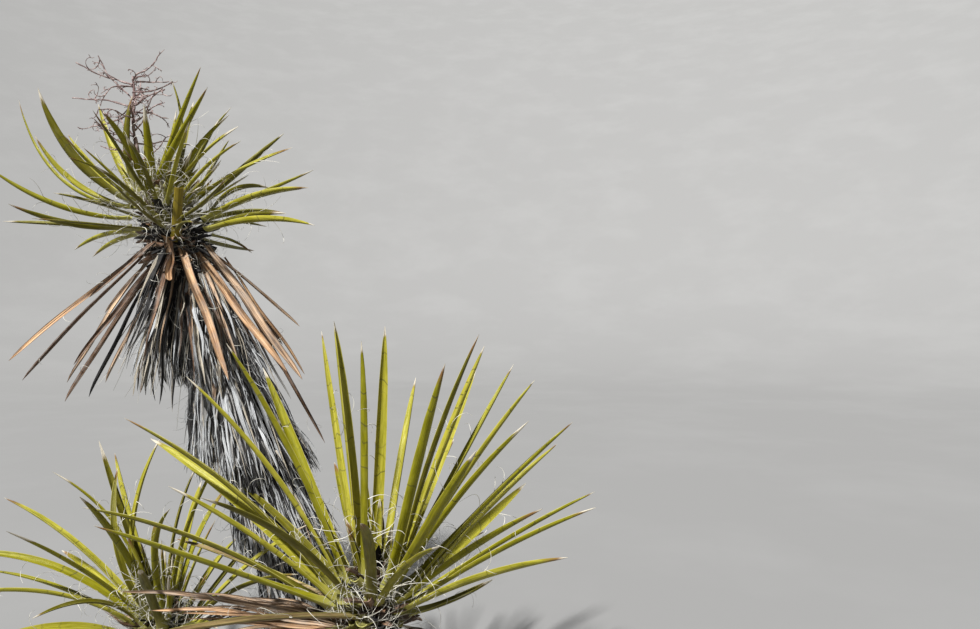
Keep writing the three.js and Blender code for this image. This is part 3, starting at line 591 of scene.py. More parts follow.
def threads(paths, radius, corners=3):
    """Rings of round threads along paths, (thread, station, 3)."""
    ahead = unit(np.gradient(paths, axis=1))
    side = unit(np.cross(ahead, unit([0.31, 0.54, 0.78])))
    up = np.cross(ahead, side)
    turns = np.pi + ring_turns(corners)
    radius = np.broadcast_to(radius, paths.shape[:2])[..., None, None]
    around = np.cos(turns)[:, None] * side[:, :, None] + np.sin(turns)[:, None] * up[:, :, None]
    return paths[:, :, None] + radius * around


def curled(start, heading, length, curl, rng, steps=10):
    """Paths that wander off from their starts and curl up."""
    count = len(start)
    axis = unit(np.cross(heading, rng.normal(size=(count, 3))))
    turn = rng.uniform(*curl, (count, 1))
    pace = length[:, None] / steps
    path = [start]
    for k in range(steps):
        angle = turn * (0.4 + 1.2 * k / steps)
        heading = unit(heading * np.cos(angle) + np.cross(axis, heading) * np.sin(angle) - 0.02 * UP)
        axis = unit(axis + rng.normal(0, 0.12, (count, 3)))
        path.append(path[-1] + heading * pace)
    return np.stack(path, 1)


def edge_threads(rings, rng, each, length, curl, high):
    """Paths of fibres that peel off the edges of blades, up to a share of their length."""
    count, stations, corners = rings.shape[:3]
    total = int(count * each)
    which = rng.integers(0, count, total)
    where = (high * rng.random(total) ** 1.5 * (stations - 2)).astype(int)
    edge = rng.integers(0, 2, total) * (corners // 2)
    start = rings[which, where, edge]
    ahead = unit(rings[which, where + 1, edge] - start)
    out = unit(start - rings[which, where].mean(axis=1))
    heading = out * rng.uniform(0.4, 1.2, (total, 1)) + ahead * rng.uniform(0.1, 1.4, (total, 1))
    heading = unit(heading + rng.normal(0, 0.3, (total, 3)))
    return curled(start, heading, rng.uniform(*length, total), curl, rng)


# Node groups that the finishes share

def plug(tree, inputs, values):
    """Sets sockets to values, or joins them to other nodes' outputs."""
    for name, value in values.items():
        if isinstance(value, bpy.types.NodeSocket):
            tree.links.new(value, inputs[name])
        else:
            inputs[name].default_value = value


def add(tree, kind, sockets=(), **settings):
    """A new shader node's outputs."""
    made = tree.nodes.new("ShaderNode" + kind)
    for name, value in settings.items():
        setattr(made, name, value)
    plug(tree, made.inputs, dict(sockets))
    return made.outputs


def sums(tree, operation, a, b=0.0):
    return add(tree, "Math", {0: a, 1: b}, operation=operation)[0]


def times(tree, a, b):
    return sums(tree, "MULTIPLY", a, b)


def plus(tree, a, b):
    return sums(tree, "ADD", a, b)


def minus(tree, a, b):
    return sums(tree, "SUBTRACT", a, b)


def spread(tree, value, low, high, to_low=0.0, to_high=1.0):
    """A value stretched from one range to another, and kept in it."""
    sockets = {"Value": value, "From Min": low, "From Max": high, "To Min": to_low, "To Max": to_high}
    return add(tree, "MapRange", sockets)[0]


def tinted(tree, share, a, b):
    """Two colours mixed by a share. A colour of three numbers is opaque."""
    a, b = (colour if isinstance(colour, bpy.types.NodeSocket) else (*colour, 1) for colour in (a, b))
    return add(tree, "Mix", {0: share, 6: a, 7: b}, data_type="RGBA")[2]


def group(name, inputs, outputs):
    """A node group of numbers: its tree, and the sockets by which they come in and go out."""
    tree = bpy.data.node_groups.new(name, "ShaderNodeTree")
    for label, value in inputs.items():
        socket = tree.interface.new_socket(name=label, in_out="INPUT", socket_type="NodeSocketFloat")
        socket.default_value = value
    for label in outputs:
        tree.interface.new_socket(name=label, in_out="OUTPUT", socket_type="NodeSocketFloat")
    return tree, tree.nodes.new("NodeGroupInput").outputs, tree.nodes.new("NodeGroupOutput").inputs


def placed(tree, shared, **values):
    """A shared group placed in a material or in another group, with its own values."""
    made = tree.nodes.new("ShaderNodeGroup")
    made.node_tree = shared
    plug(tree, made.inputs, values)
    return made.outputs


def leaf_place(tree):
    """Across a leaf in its widths, with the leaf's own number in it, and along it in metres."""
    return add(tree, "SeparateXYZ", {0: add(tree, "UVMap", uv_map="along_leaf")[0]})[:2]


def leaf_number(tree, across):
    return sums(tree, "FLOOR", sums(tree, "DIVIDE", plus(tree, across, 1.0), float(LEAF_SPACING)))


def noise_of(tree, x, y, z=0.0, detail=2.0, roughness=0.5):
    place = add(tree, "CombineXYZ", {0: x, 1: y, 2: z})[0]
    return noise_at(tree, place, 1.0, detail, roughness)


def noise_at(tree, place, scale, detail=2.0, roughness=0.5):
    sockets = {"Vector": place, "Scale": scale, "Detail": detail, "Roughness": roughness}
    return add(tree, "TexNoise", sockets)[0]


def lengthwise_fibres():
    """Streaks that run along a leaf, broad ones for its colour and fine ones for its relief."""
    inputs = {"Lines": 9.0, "Runs": 14.0, "Softness": 0.18}
    tree, given, out = group("lengthwise fibres", inputs, ["Streak", "Relief", "Margin"])
    across, along = leaf_place(tree)
    x, y = times(tree, across, given["Lines"]), times(tree, along, given["Runs"])
    streak = noise_of(tree, x, y, detail=3.0, roughness=0.6)
    low, high = minus(tree, 0.5, given["Softness"]), plus(tree, 0.5, given["Softness"])
    own = sums(tree, "FLOORED_MODULO", plus(tree, across, 1.0), float(LEAF_SPACING))
    off_middle = sums(tree, "ABSOLUTE", minus(tree, own, 1.5))
    fine = noise_of(tree, times(tree, x, 2.4), y, 5.0)
    plug(tree, out, {"Streak": spread(tree, streak, low, high), "Relief": spread(tree, fine, 0.3, 0.7),
                     "Margin": spread(tree, off_middle, 0.34, 0.48)})
    return tree


def leaf_tone():
    """One number for each leaf, and a slow change along it."""
    tree, given, out = group("leaf tone", {"Runs": 3.0}, ["Leaf", "Drift"])
    across, along = leaf_place(tree)
    number = leaf_number(tree, across)
    drift = noise_of(tree, number, times(tree, along, given["Runs"]), 9.0)
    plug(tree, out, {"Leaf": add(tree, "TexWhiteNoise", {"W": number}, noise_dimensions="1D")[0],
                     "Drift": spread(tree, drift, 0.35, 0.65)})
    return tree


def leaf_ends():
    """Where a leaf is browned towards its tip, bleached at the very tip, and pale at its foot."""
    tree, _, out = group("leaf ends", {}, ["Browned", "Bleached", "Foot"])
    across, along = leaf_place(tree)
    to_tip = add(tree, "SeparateXYZ", {0: add(tree, "UVMap", uv_map="to_tip")[0]})[0]
    ragged = noise_of(tree, times(tree, across, 6.0), times(tree, along, 18.0), 31.0)
    near = plus(tree, to_tip, times(tree, minus(tree, ragged, 0.5), 1.2))
    bleached = spread(tree, placed(tree, TONE)["Leaf"], 0.25, 0.6, 0.35, 1.05)
    plug(tree, out, {"Browned": spread(tree, near, 1.2, 0.5), "Foot": spread(tree, along, 0.085, 0.015),
                     "Bleached": spread(tree, near, bleached, minus(tree, bleached, 0.3))})
    return tree


def painted_cross_shadows():
    """Thin wavering dark lines across a leaf: painted shadows of the curled fibres that cross it."""
    tree, given, out = group("painted cross shadows", {"Often": 30.0, "Width": 0.08}, ["Shadow_line"])
    across, along = leaf_place(tree)
    waver = noise_of(tree, times(tree, across, 1.2), times(tree, along, 7.0), 3.0, 1.0)
    place = plus(tree, times(tree, along, given["Often"]), times(tree, waver, 1.8))
    off = sums(tree, "ABSOLUTE", minus(tree, sums(tree, "FRACT", place), 0.5))
    line = spread(tree, off, given["Width"], times(tree, given["Width"], 0.3))
    which = add(tree, "CombineXYZ", {0: sums(tree, "FLOOR", place), 1: leaf_number(tree, across)})[0]
    chance = add(tree, "TexWhiteNoise", {"Vector": which}, noise_dimensions="2D")[0]
    plug(tree, out, {"Shadow_line": times(tree, line, spread(tree, chance, 0.5, 0.9))})
    return tree


def weathering():
    """Blotches of dust, lichen and bleaching, and fine specks."""
    tree, given, out = group("weathering", {"Size": 0.03}, ["Blotch", "Speck"])
    place = add(tree, "TexCoord")["Object"]
    scale = sums(tree, "DIVIDE", 1.0, given["Size"])
    blotch = noise_at(tree, place, scale, 4.0, 0.6)
    speck = noise_at(tree, place, times(tree, scale, 9.0))
    plug(tree, out, {"Blotch": spread(tree, blotch, 0.45, 0.68), "Speck": spread(tree, speck, 0.6, 0.7)})
    return tree


FIBRES, TONE, CROSS_SHADOWS, WEATHER = lengthwise_fibres(), leaf_tone(), painted_cross_shadows(), weathering()
ENDS = leaf_ends()
FINISHES = {}


# The finishes

def start_finish(name):
    """A new finish: its node tree and its shader's sockets."""
    material = bpy.data.materials.new(name)
    material.use_nodes = True
    FINISHES[name] = material
    return material.node_tree, material.node_tree.nodes["Principled BSDF"].inputs


def relief(tree, height, depth):
    return add(tree, "Bump", {"Height": height, "Distance": depth, "Strength": 1.0})[0]


def leaf_finish(name, dark, pale, shift, dust, lines=9, runs=14, cross_shadows=0.0, worn=0.3, roughness=0.5,
                depth=0.0006, gloss=0.3, drift=0.0, gleam=(1, 1, 1), softness=0.18, edge=0.0, foot=0.6):
    """Leaf skin: two colours along its fibres, shifted leaf by leaf, with painted cross shadows and dust."""
    tree, skin = start_finish(name)
    fibres = placed(tree, FIBRES, Lines=lines, Runs=runs, Softness=softness)
    tone = placed(tree, TONE)
    share = times(tree, plus(tree, tone["Leaf"], tone["Drift"]), 0.5)
    colour = tinted(tree, times(tree, share, 0.8), pale, shift)
    colour = tinted(tree, fibres["Streak"], dark, colour)
    stained = [STAIN * part for part in dark]
    colour = tinted(tree, times(tree, tone["Drift"], drift), colour, stained)
    if edge:
        colour = tinted(tree, times(tree, fibres["Margin"], edge), colour, stained)
    if cross_shadows:
        ends = placed(tree, ENDS)
        # painted shadows of the fibres that cross the leaf
        colour = tinted(tree, times(tree, placed(tree, CROSS_SHADOWS)["Shadow_line"], cross_shadows), colour, CROSS_SHADOW_BROWN)
        colour = tinted(tree, times(tree, ends["Foot"], foot), colour, FOOT_YELLOW)
        colour = tinted(tree, ends["Browned"], colour, TIP_BROWN)
        colour = tinted(tree, ends["Bleached"], colour, TIP_BLEACHED)
    colour = tinted(tree, times(tree, placed(tree, WEATHER)["Blotch"], worn), colour, dust)
    plug(tree, skin, {
        "Base Color": colour, "Normal": relief(tree, fibres["Relief"], depth),
        "Roughness": spread(tree, fibres["Relief"], 0, 1, roughness - 0.08, roughness + 0.12),
        "Specular IOR Level": gloss, "Specular Tint": (*gleam, 1)})


def live_leaf_finishes():
    dust = (0.30, 0.28, 0.12)
    green = dict(lines=4.5, cross_shadows=0.75, worn=0.08, gloss=0.35, gleam=GREEN_GLEAM)
    leaf_finish("olive_leaf", (0.125, 0.118, 0.002), (0.26, 0.245, 0.010), (0.22, 0.194, 0.005), dust,
                **green, roughness=0.42)
    # Paler green: partly the leaf's own tone, partly painted sunlight on leaves that stood in the sun
    leaf_finish("sunny_leaf", (0.18, 0.168, 0.006), (0.37, 0.34, 0.048), (0.32, 0.278, 0.022), dust,
                **green, roughness=0.40)
    # Darker green: partly the leaf's own tone, partly painted shade on leaves that stood in shade
    leaf_finish("deep_leaf", (0.055, 0.050, 0.002), (0.145, 0.131, 0.005), (0.110, 0.094, 0.003), dust,
                **dict(green, cross_shadows=0.7, worn=0.10), roughness=0.45)
    leaf_finish("amber_leaf", (0.12, 0.088, 0.004), (0.28, 0.225, 0.016), (0.22, 0.155, 0.010), dust,
                lines=6, cross_shadows=0.5, worn=0.08, foot=0.0)
    leaf_finish("withered_leaf", (0.085, 0.050, 0.020), (0.40, 0.29, 0.13), (0.27, 0.19, 0.07), dust,
                lines=4, runs=8, cross_shadows=0.5, worn=0.15, roughness=0.55, drift=0.4, foot=0.3)
    leaf_finish("leaf_base", (0.22, 0.205, 0.045), (0.45, 0.43, 0.15), (0.36, 0.32, 0.10), dust, worn=0.15)
    leaf_finish("leaf_margin", (0.26, 0.235, 0.04), (0.48, 0.44, 0.14), (0.32, 0.26, 0.07), dust,
                lines=3, cross_shadows=0.2, worn=0.15, roughness=0.6)
    leaf_finish("curled_fibre", (0.48, 0.46, 0.40), (0.74, 0.72, 0.66), (0.60, 0.55, 0.44), dust,
                lines=2, worn=0.2, roughness=0.7)


def dead_leaf_finishes():
    dust = (0.30, 0.28, 0.26)
    dry = dict(runs=6, depth=0.0012, edge=0.8)
    grey = dict(lines=10, runs=7, depth=0.0009)
    leaf_finish("tan_leaf", (0.12, 0.066, 0.034), (0.76, 0.53, 0.34), (0.62, 0.44, 0.29), dust,
                **dry, lines=3.5, worn=0.4, roughness=0.62, drift=0.5, softness=0.10)
    leaf_finish("orange_leaf", (0.22, 0.110, 0.050), (0.80, 0.51, 0.28), (0.70, 0.45, 0.25), dust,
                **dry, lines=3.5, roughness=0.58, drift=0.4, softness=0.10)
    leaf_finish("brown_leaf", (0.050, 0.026, 0.015), (0.32, 0.185, 0.105), (0.20, 0.11, 0.065), dust,
                **dry, lines=4, worn=0.35, roughness=0.7, drift=0.3, softness=0.12)
    leaf_finish("silver_leaf", (0.22, 0.225, 0.23), (0.66, 0.675, 0.68), (0.56, 0.565, 0.56),
                (0.68, 0.68, 0.66), **grey, roughness=0.72)
    leaf_finish("ash_leaf", (0.14, 0.135, 0.13), (0.52, 0.51, 0.49), (0.38, 0.36, 0.33), (0.52, 0.51, 0.49),
                **grey, roughness=0.78)
    # Near black: dark old leaves, and painted shade for the gaps between lit strips and leaves
    leaf_finish("charcoal_leaf", (0.006, 0.006, 0.007), (0.045, 0.043, 0.042), (0.022, 0.020, 0.018), dust,
                **grey, worn=0.08, roughness=0.8)
    leaf_finish("straw_leaf", (0.26, 0.22, 0.16), (0.70, 0.64, 0.53), (0.56, 0.50, 0.40), dust,
                runs=6, roughness=0.7, depth=0.0009)


def stalk_finish():
    """Dry, purplish brown skin, silvered in places."""
    tree, skin = start_finish("dry_stalk")
    weather = placed(tree, WEATHER, Size=0.012)
    colour = tinted(tree, weather["Blotch"], (0.15, 0.088, 0.080), (0.50, 0.39, 0.36))
    colour = tinted(tree, times(tree, weather["Speck"], 0.8), colour, (0.66, 0.61, 0.60))
    plug(tree, skin, {"Base Color": colour, "Normal": relief(tree, weather["Speck"], 0.0008),
                      "Roughness": 0.75})


def bark_finish():
    """Fibrous bark: grey ridges over brown cracks, with dust in them."""
    tree, skin = start_finish("bark")
    place = add(tree, "TexCoord")["Object"]
    ridges = add(tree, "Mapping", {"Vector": place, "Scale": (85, 85, 16)})[0]
    grain = noise_at(tree, ridges, 1.0, 5.0, 0.65)
    dust = times(tree, placed(tree, WEATHER, Size=0.05)["Blotch"], 0.5)
    colour = tinted(tree, spread(tree, grain, 0.35, 0.65), (0.045, 0.030, 0.022), (0.30, 0.245, 0.19))
    plug(tree, skin, {"Base Color": tinted(tree, dust, colour, (0.36, 0.33, 0.30)),
                      "Roughness": spread(tree, grain, 0.3, 0.7, 0.72, 0.95),
                      "Normal": relief(tree, grain, 0.003)})


def painted_shade_thatch_core_finish():
    """A near-black core between the strips: painted shade over the dark, rotted leaf bases."""
    tree, skin = start_finish("painted_shade_thatch_core")
    blotch = placed(tree, WEATHER, Size=0.02)["Blotch"]
    plug(tree, skin, {"Base Color": tinted(tree, blotch, (0.008, 0.007, 0.006), (0.045, 0.036, 0.03)),
                      "Roughness": 0.95, "Normal": relief(tree, blotch, 0.004)})


live_leaf_finishes()
dead_leaf_finishes()
stalk_finish()
bark_finish()
painted_shade_thatch_core_finish()


# The pieces

def seeded(detail):
    """A detail's own stream of random numbers."""
    return np.random.default_rng(SEED + SEEDS[detail])


def dead_blades(sheaf, lines, form, shades, rng):
    """Adds dead leaves or torn strips, each in one shade."""
    rings, *places = blades(lines, form, rng)
    sheaf.add(rings, sheaf.dealt(lines, shades, rng)[:, None, None], *places)
    return rings


def live_rosette(name, leaves, at, heart, reach, collar):
    """The live leaves of a rosette, each in one green with thin pale margins, and the fibres along them."""
    kind = ROSETTES[name]
    lines = rooted(leaves, at, heart, 0, reach, kind["whorls"], collar, kind["splay"])
    if name == "top":
        straighten_broken(lines, *BROKEN_TOP_LEAF)
    lines += inner_leaves(name, at, heart, reach, collar)
    for line in lines:
        if line["rise"] < LOW_RISE and not line.get("finish"):
            line["finish"] = "deep_leaf"  # low leaves get the darkest green: painted shade under the leaves above them, and they are the oldest
    rng = seeded(name + "_rosette")
    sheaf = Sheaf(*LIVE_FINISHES)
    rings, *places = blades(lines, kind["blade"], rng)
    stations, corners = rings.shape[1:3]
    greens = sheaf.dealt(lines, kind["greens"], rng)
    shades = np.tile(greens[:, None, None], (1, stations - 1, corners))
    half = corners // 2
    shades[:, :, [0, half - 1, half, corners - 1]] = sheaf.shade("leaf_margin")[0]
    sheaf.add(rings, shades, *places)
    nodes = [f"{name}_leaves_{whorl}" for whorl in range(1, kind["whorls"] + 1)]
    sheaf.piece(name + "_rosette", "live_leaf", *nodes)
    wisps = Sheaf("curled_fibre")
    for curls in LEAF_CURLS:
        wisps.add_threads(edge_threads(rings, rng, *curls), LIVE_FIBRE, "curled_fibre")
    wisps.piece(name + "_rosette_fibres", "live_leaf")


def inner_leaves(name, at, heart, reach, collar):
    """Short leaves that rise close together out of a heart."""
    count, rise, length, low = ROSETTES[name]["inner"]
    draw = stream(SEED + SEEDS[name + "_inner_leaves"])
    young = spiral(count, rise, length, INNER_ARCH, INNER_SPACING, [], draw)
    for leaf in young:
        leaf["broad"] *= INNER_BREADTH
    return rooted(young, at, heart, low, reach, INNER_WHORLS, collar)


def leaf_bases(name, slot, at, high, low, count, rise, shades):
    """The short clasping feet of old leaves, packed in a spiral round a stem."""
    rng = seeded(name)
    lines = []
    for k in range(count):
        share = (k + rng.random()) / count
        turn = np.radians(k * GOLDEN)
        centre, axis, radius = at(mix(low, high, share))
        across = unit(np.array([1.0, 0, 0]) - axis * axis[0])
        out = np.cos(turn) * across + np.sin(turn) * np.cross(axis, across)
        slope = np.radians(mix(*rise, share) + rng.normal(0, 9))
        root = centre + out * (radius - 0.006)
        tip = root + (out * np.cos(slope) + axis * np.sin(slope)) * rng.uniform(*BASE_LENGTH)
        lines.append(line_of(root, tip, rng.uniform(-0.004, 0.006), np.cross(axis, out),
                             dict(blunt=rng.random() < 0.6, turned=0, broad=rng.uniform(0.7, 1.2))))
    sheaf = Sheaf(*DEAD_FINISHES, "leaf_base")
    rings = dead_blades(sheaf, lines, BASE_BLADE, shades, rng)
    sheaf.add_threads(edge_threads(rings, rng, *BASE_CURLS), DEAD_FIBRE, "curled_fibre")
    sheaf.piece(name, slot)


def dead_skirt(name, slot, nodes, *parts):
    """Dead leaves in one piece: parts of lines, each with its blade, its shades and fibres for each leaf."""
    rng = seeded(name)
    sheaf = Sheaf(*DEAD_FINISHES)
    for lines, form, shades, fibres in parts:
        rings = dead_blades(sheaf, lines, form, shades, rng)
        sheaf.add_threads(edge_threads(rings, rng, fibres, *DEAD_CURLS), DEAD_FIBRE, "curled_fibre")
    sheaf.piece(name, slot, *nodes)


def shredded(lines, strands, spread, rng):
    """Each leaf's line split into strands that part towards their tips."""
    torn = []
    for line in lines:
        ahead = unit(line["tip"] - line["root"])
        outward = np.cross(ahead, line["side"])
        for _ in range(strands):
            place = rng.uniform(-1, 1)
            keep = rng.uniform(0.45, 1.05)
            root = line["root"] + line["side"] * place * spread * 0.5 + outward * rng.normal(0, 0.004)
            reach = (line["tip"] - line["root"]) * keep
            stray = line["side"] * place * spread + rng.normal(0, 0.35 * spread, 3)
            bow = (line["middle"] - (line["tip"] + line["root"]) / 2) * keep
            tip = root + reach + stray
            middle = (root + tip) / 2 + bow + rng.normal(0, 0.008, 3)
            broad = rng.lognormal(0, 0.45)
            torn.append(dict(line, root=root, tip=tip, middle=middle, broad=broad, blunt=False))
    return torn


def tan_skirt(leaves):
    """The newest dead leaves, tan and whole, but for worn ones on the -Y side."""
    lines = rooted(leaves, trunk_at, trunk_at(TRUNK_HEIGHT - TAN_DROP)[0], SKIRT_BOTTOM, TRUNK_HEIGHT, 2,
                   TAN_COLLAR)
    straighten_broken(lines, *BROKEN_TAN_LEAF)
    whole, worn = [], []
    for line in lines:
        tattered = "finish" not in line and line["way"][1] < -0.9 * abs(line["way"][0])
        (worn if tattered else whole).append(line)
    torn = shredded(worn, 9, TAN_STRAND_SPREAD, seeded("tan_strands"))
    dead_skirt("tan_skirt", "tan_leaf", ["tan_skirt_1", "tan_skirt_2"],
               (whole, DRY_BLADE, TAN_SHADES, 3), (torn, FRAYED, WORN_SHADES, 0.3))


def grey_skirt(leaves):
    """Older leaves under those, each a narrow point among its own torn strands."""
    heart = trunk_at(GREY_BOTTOM + GREY_WHORL / 2)[0]
    lines = rooted(leaves, trunk_at, heart, GREY_BOTTOM, SKIRT_BOTTOM, 1, GREY_COLLAR)
    torn = shredded(lines, 8, GREY_STRAND_SPREAD, seeded("grey_strands"))
    dead_skirt("grey_skirt", "grey_leaf", ["grey_skirt_1"],
               (torn, FRAYED, GREY_SHADES, 0.5), (lines, POINTED_BLADE, DARK_SHADES, 1))


def side_skirt(name, leaves, stem, heart, collar, strands):
    """The dead leaves under a side rosette, with torn strands between them."""
    lines = rooted(leaves, stem.at, heart - UP * DEAD_DROP, -stem.length / STEM_SPANS, 0, 1, collar)
    torn = shredded(lines, strands, STRAND_SPREAD, seeded(name + "_strands"))
    dead_skirt(name + "_skirt", "tan_leaf", [name + "_skirt_1"],
               (lines, LOW_BLADE, TAN_SHADES, 3), (torn, FRAYED, LOW_SHADES, 0.5))


def thatch_tier(name, low, high, top_out, bottom_out, hang, draw):
    """A tier of the thatch: a near-black core of painted shade over its leaf bases, broad strips, torn shreds
    and loose hairs.
    """
    rng = seeded(name)

    def rim(z):
        share = (high - z) / (high - low)
        centre, _, radius = trunk_at(z)
        return centre - np.multiply.outer(hang * share, [1, 0, 0]), radius + mix(top_out, bottom_out, share)

    def hanging(turn, way, start, end, sunk, stray, bow, broad):
        """The line of a strip from its root at one height to its tip at another."""
        (root, inner), (tip, outer) = rim(start), rim(end)
        out = direction(turn, 0)
        root = root + out * (inner - sunk)
        tip = tip + direction(way, 0) * (outer + stray)
        tip[2] = max(tip[2], GROUND_GAP)
        return line_of(root, tip, bow, np.cross(UP, out), dict(blunt=False, turned=0, broad=broad))

    broad_strips = []
    for k in range(STRIPS):
        turn = 360 * (k + 0.6 * draw()) / STRIPS
        way = turn + STRIP_STRAY * (draw() - 0.5)
        start = mix(low, high, 0.8 + 0.14 * draw())
        end = low - OVERHANG * (0.2 + 0.8 * draw())
        broad_strips.append(hanging(turn, way, start, end, 0.004, STAND_OFF, STAND_OFF, 1))
    torn = []
    for _ in range(SHREDS_PER_TIER):
        turn = 360 * rng.random()
        start = mix(low, high, rng.uniform(0.1, 1.08))
        end = max(start - rng.uniform(0.09, 0.30), low - OVERHANG * rng.uniform(0.1, 1))
        stray = rng.uniform(-0.006, 0.012) + 0.03 * rng.random() ** 6
        torn.append(hanging(turn, turn + rng.normal(0, 5), start, end, rng.uniform(0, 0.012), stray,
                            rng.uniform(0, 0.012), rng.lognormal(0, 0.45)))
    sheaf = Sheaf(*DEAD_FINISHES, "painted_shade_thatch_core")
    dead_blades(sheaf, broad_strips, STRIP, THATCH_SHADES, rng)
    dead_blades(sheaf, torn, SHRED, THATCH_SHADES, rng)
    turn = rng.uniform(0, 360, HAIRS_PER_TIER)
    centre, radius = rim(rng.uniform(low, high, HAIRS_PER_TIER))
    out = direction(turn, 0)
    start = centre + out * (radius + 0.002)[:, None]
    heading = out * rng.uniform(0.1, 0.9, (HAIRS_PER_TIER, 1)) - UP + rng.normal(0, 0.25, (HAIRS_PER_TIER, 3))
    paths = curled(start, unit(heading), rng.uniform(0.02, 0.10, HAIRS_PER_TIER), (0.02, 0.3), rng)
    paths[..., 2] = np.maximum(paths[..., 2], GROUND_GAP)
    sheaf.add_threads(paths, HAIR, "silver_leaf")
    # the core: painted shade that shows between the strips
    centre, radius = rim(np.linspace(low, high - 0.004, 5))
    turns = ring_turns(24)
    around = np.stack([np.cos(turns), np.sin(turns), 0 * turns], -1)
    core = centre[:, None] + around * (radius - CORE_DEPTH)[:, None, None]
    sheaf.add(core[None], sheaf.shade("painted_shade_thatch_core")[0])
    sheaf.piece(name, "grey_leaf", name.replace("tier_", ""))


def thatch(draw):
    low = THATCH_BOTTOM
    for number, (share, *form) in enumerate(TIERS, 1):
        high = low + share * (GREY_BOTTOM - THATCH_BOTTOM)
        thatch_tier(f"thatch_tier_{number}", low, high, *form, draw)
        low = high


def grey_shreds():
    """Torn grey leaves and long pale threads that hang between the grey skirt and the thatch."""
    rng = seeded("grey_shreds")
    lines = []
    for _ in range(GREY_SHREDS):
        turn = 360 * rng.random()
        out = direction(turn, 0)
        centre, _, radius = trunk_at(rng.uniform(GREY_BOTTOM, SKIRT_BOTTOM))
        root = centre + out * (radius + 0.006)
        way = direction(turn + rng.normal(0, 8), rng.uniform(-84, -58))
        tip = root + way * rng.uniform(0.14, 0.36)
        lines.append(line_of(root, tip, rng.uniform(0, 0.02), np.cross(UP, out),
                             dict(blunt=False, turned=0, broad=rng.lognormal(0, 0.4))))
    sheaf = Sheaf(*DEAD_FINISHES)
    dead_blades(sheaf, lines, GREY_SHRED, SHRED_SHADES, rng)
    start = np.array([line["middle"] for line in lines[:HANGING_THREADS]])
    heading = unit(rng.normal(0, 0.12, start.shape) - UP)
    paths = curled(start, heading, rng.uniform(0.12, 0.34, HANGING_THREADS), (0.005, 0.06), rng)
    sheaf.add_threads(paths, HANGING_THREAD, "curled_fibre")
    sheaf.piece("grey_shreds", "grey_leaf")


def stem_bark(name, at, low, high, rings, around, shift, lobes=0):
    """A stem with the scars of fallen leaves and a fibrous relief, and lobes where its foot flares."""
    turns = ring_turns(around)
    shape = []
    for run in np.linspace(low, high, rings):
        centre, normal, radius = at(run)
        across = unit(np.array([1.0, 0, 0]) - normal * normal[0])
        along = np.cross(normal, across)
        spokes = np.cos(turns)[:, None] * across + np.sin(turns)[:, None] * along
        depth = lobes * max(0, 1 - centre[2] / FLARE_HEIGHT)
        reach = radius * (1 + depth * np.cos(LOBES * turns))
        for k, spoke in enumerate(spokes):
            spot = centre + spoke * radius
            ridge = noise.noise(Vector(spot * BARK_RIDGES) + Vector((shift, 0, 0)))
            swell = noise.noise(Vector(spot * BARK_SWELLS) + Vector((0, shift, 0)))
            scar = (run / SCAR_STEP + 0.8 * swell + 0.5 * (k % 2)) % 1
            reach[k] += BARK_SINK + RIDGE_HEIGHT * ridge + SWELL_HEIGHT * swell - SCAR_DEPTH * scar
        shape.append(centre + spokes * reach[:, None])
    sheaf = Sheaf("bark")
    sheaf.add(np.array(shape)[None], 0)
    sheaf.piece(name + "_bark", "bark", name)


def flower_stalk(draw):
    """A dry stalk, its wandering branches and the curling twigs along them."""
    rng = seeded("flower_stalk")
    sheaf = Sheaf("dry_stalk")

    def on_stalk(share):
        return np.array([np.interp(share, STALK_SHARES, column) for column in np.transpose(STALK_PATH)])

    def knobbly(path, thick, thin, corners=6):
        steps = len(path)
        radius = np.linspace(thick, thin, steps) * (1 + 0.22 * rng.normal(size=steps).clip(-1.5, 1.5))
        sheaf.add(threads(path[None], radius[None], corners), 0)

    def twigs(path, count, length, thick, levels):
        """Curling twigs that leave a path, with smaller ones along them."""
        for spot in rng.integers(2, len(path), count):
            heading = unit(unit(path[spot] - path[spot - 1]) + rng.normal(0, 0.7, 3) - 0.2 * UP)
            steps = curled(path[spot][None], heading[None], rng.uniform(*length, 1), (0.05, 0.5), rng, 8)[0]
            knobbly(steps, thick, 0.6 * thick, 5)
            if levels:
                twigs(steps, 2, (0.008, 0.024), 0.75 * thick, levels - 1)

    shares = np.linspace(STALK_SHARES[0], 1, 46)
    sway = 0.003 * np.stack([np.sin(9 * shares), np.cos(7 * shares), 0 * shares], -1)
    knobbly(np.array([on_stalk(share) for share in shares]) + sway, STALK_RADIUS, STALK_TIP, 8)
    for k in range(STALK_BRANCHES):
        share = mix(0.15, 0.99, (k + 0.5) / STALK_BRANCHES)
        length = mix(0.200, 0.100, share) * (0.7 + 0.6 * draw())
        heading = direction(k * GOLDEN, 45 * draw() - 10) * [1, 1, 1 - 0.8 * share]
        spots = [on_stalk(share)]
        for _ in range(4):
            heading = unit(heading + (np.array([draw(), draw(), draw()]) - 0.5) * TWIST)
            spots.append(spots[-1] + heading * length / 4)
        steps = np.linspace(0, 4, 25)
        path = np.stack([np.interp(steps, range(5), column) for column in np.array(spots).T], -1)
        path[1:-1] = (path[:-2] + 2 * path[1:-1] + path[2:]) / 4
        wander = np.cumsum(rng.normal(0, 0.0011, path.shape), axis=0) * [1, 1, 0.3]
        path += wander * np.linspace(0, 1, len(path))[:, None]
        knobbly(path, BRANCH_RADIUS, BRANCH_TIP)
        twigs(path, 3, (0.03, mix(0.09, 0.05, share)), TWIG_RADIUS, 1)
    for share, azimuth, rise, length in LONG_TWIGS:
        heading = direction(azimuth, rise)
        path = [on_stalk(share)]
        for _ in range(LONG_TWIG_STEPS):
            heading = unit(heading + rng.normal(0, 0.10, 3))
            path.append(path[-1] + heading * length / LONG_TWIG_STEPS)
        knobbly(np.array(path), LONG_TWIG_RADIUS, LONG_TWIG_TIP)
        twigs(path, 3, (0.025, 0.07), TWIG_RADIUS, 1)
    sheaf.piece("flower_stalk_dry", "dry_stalk", "flower_stalk")


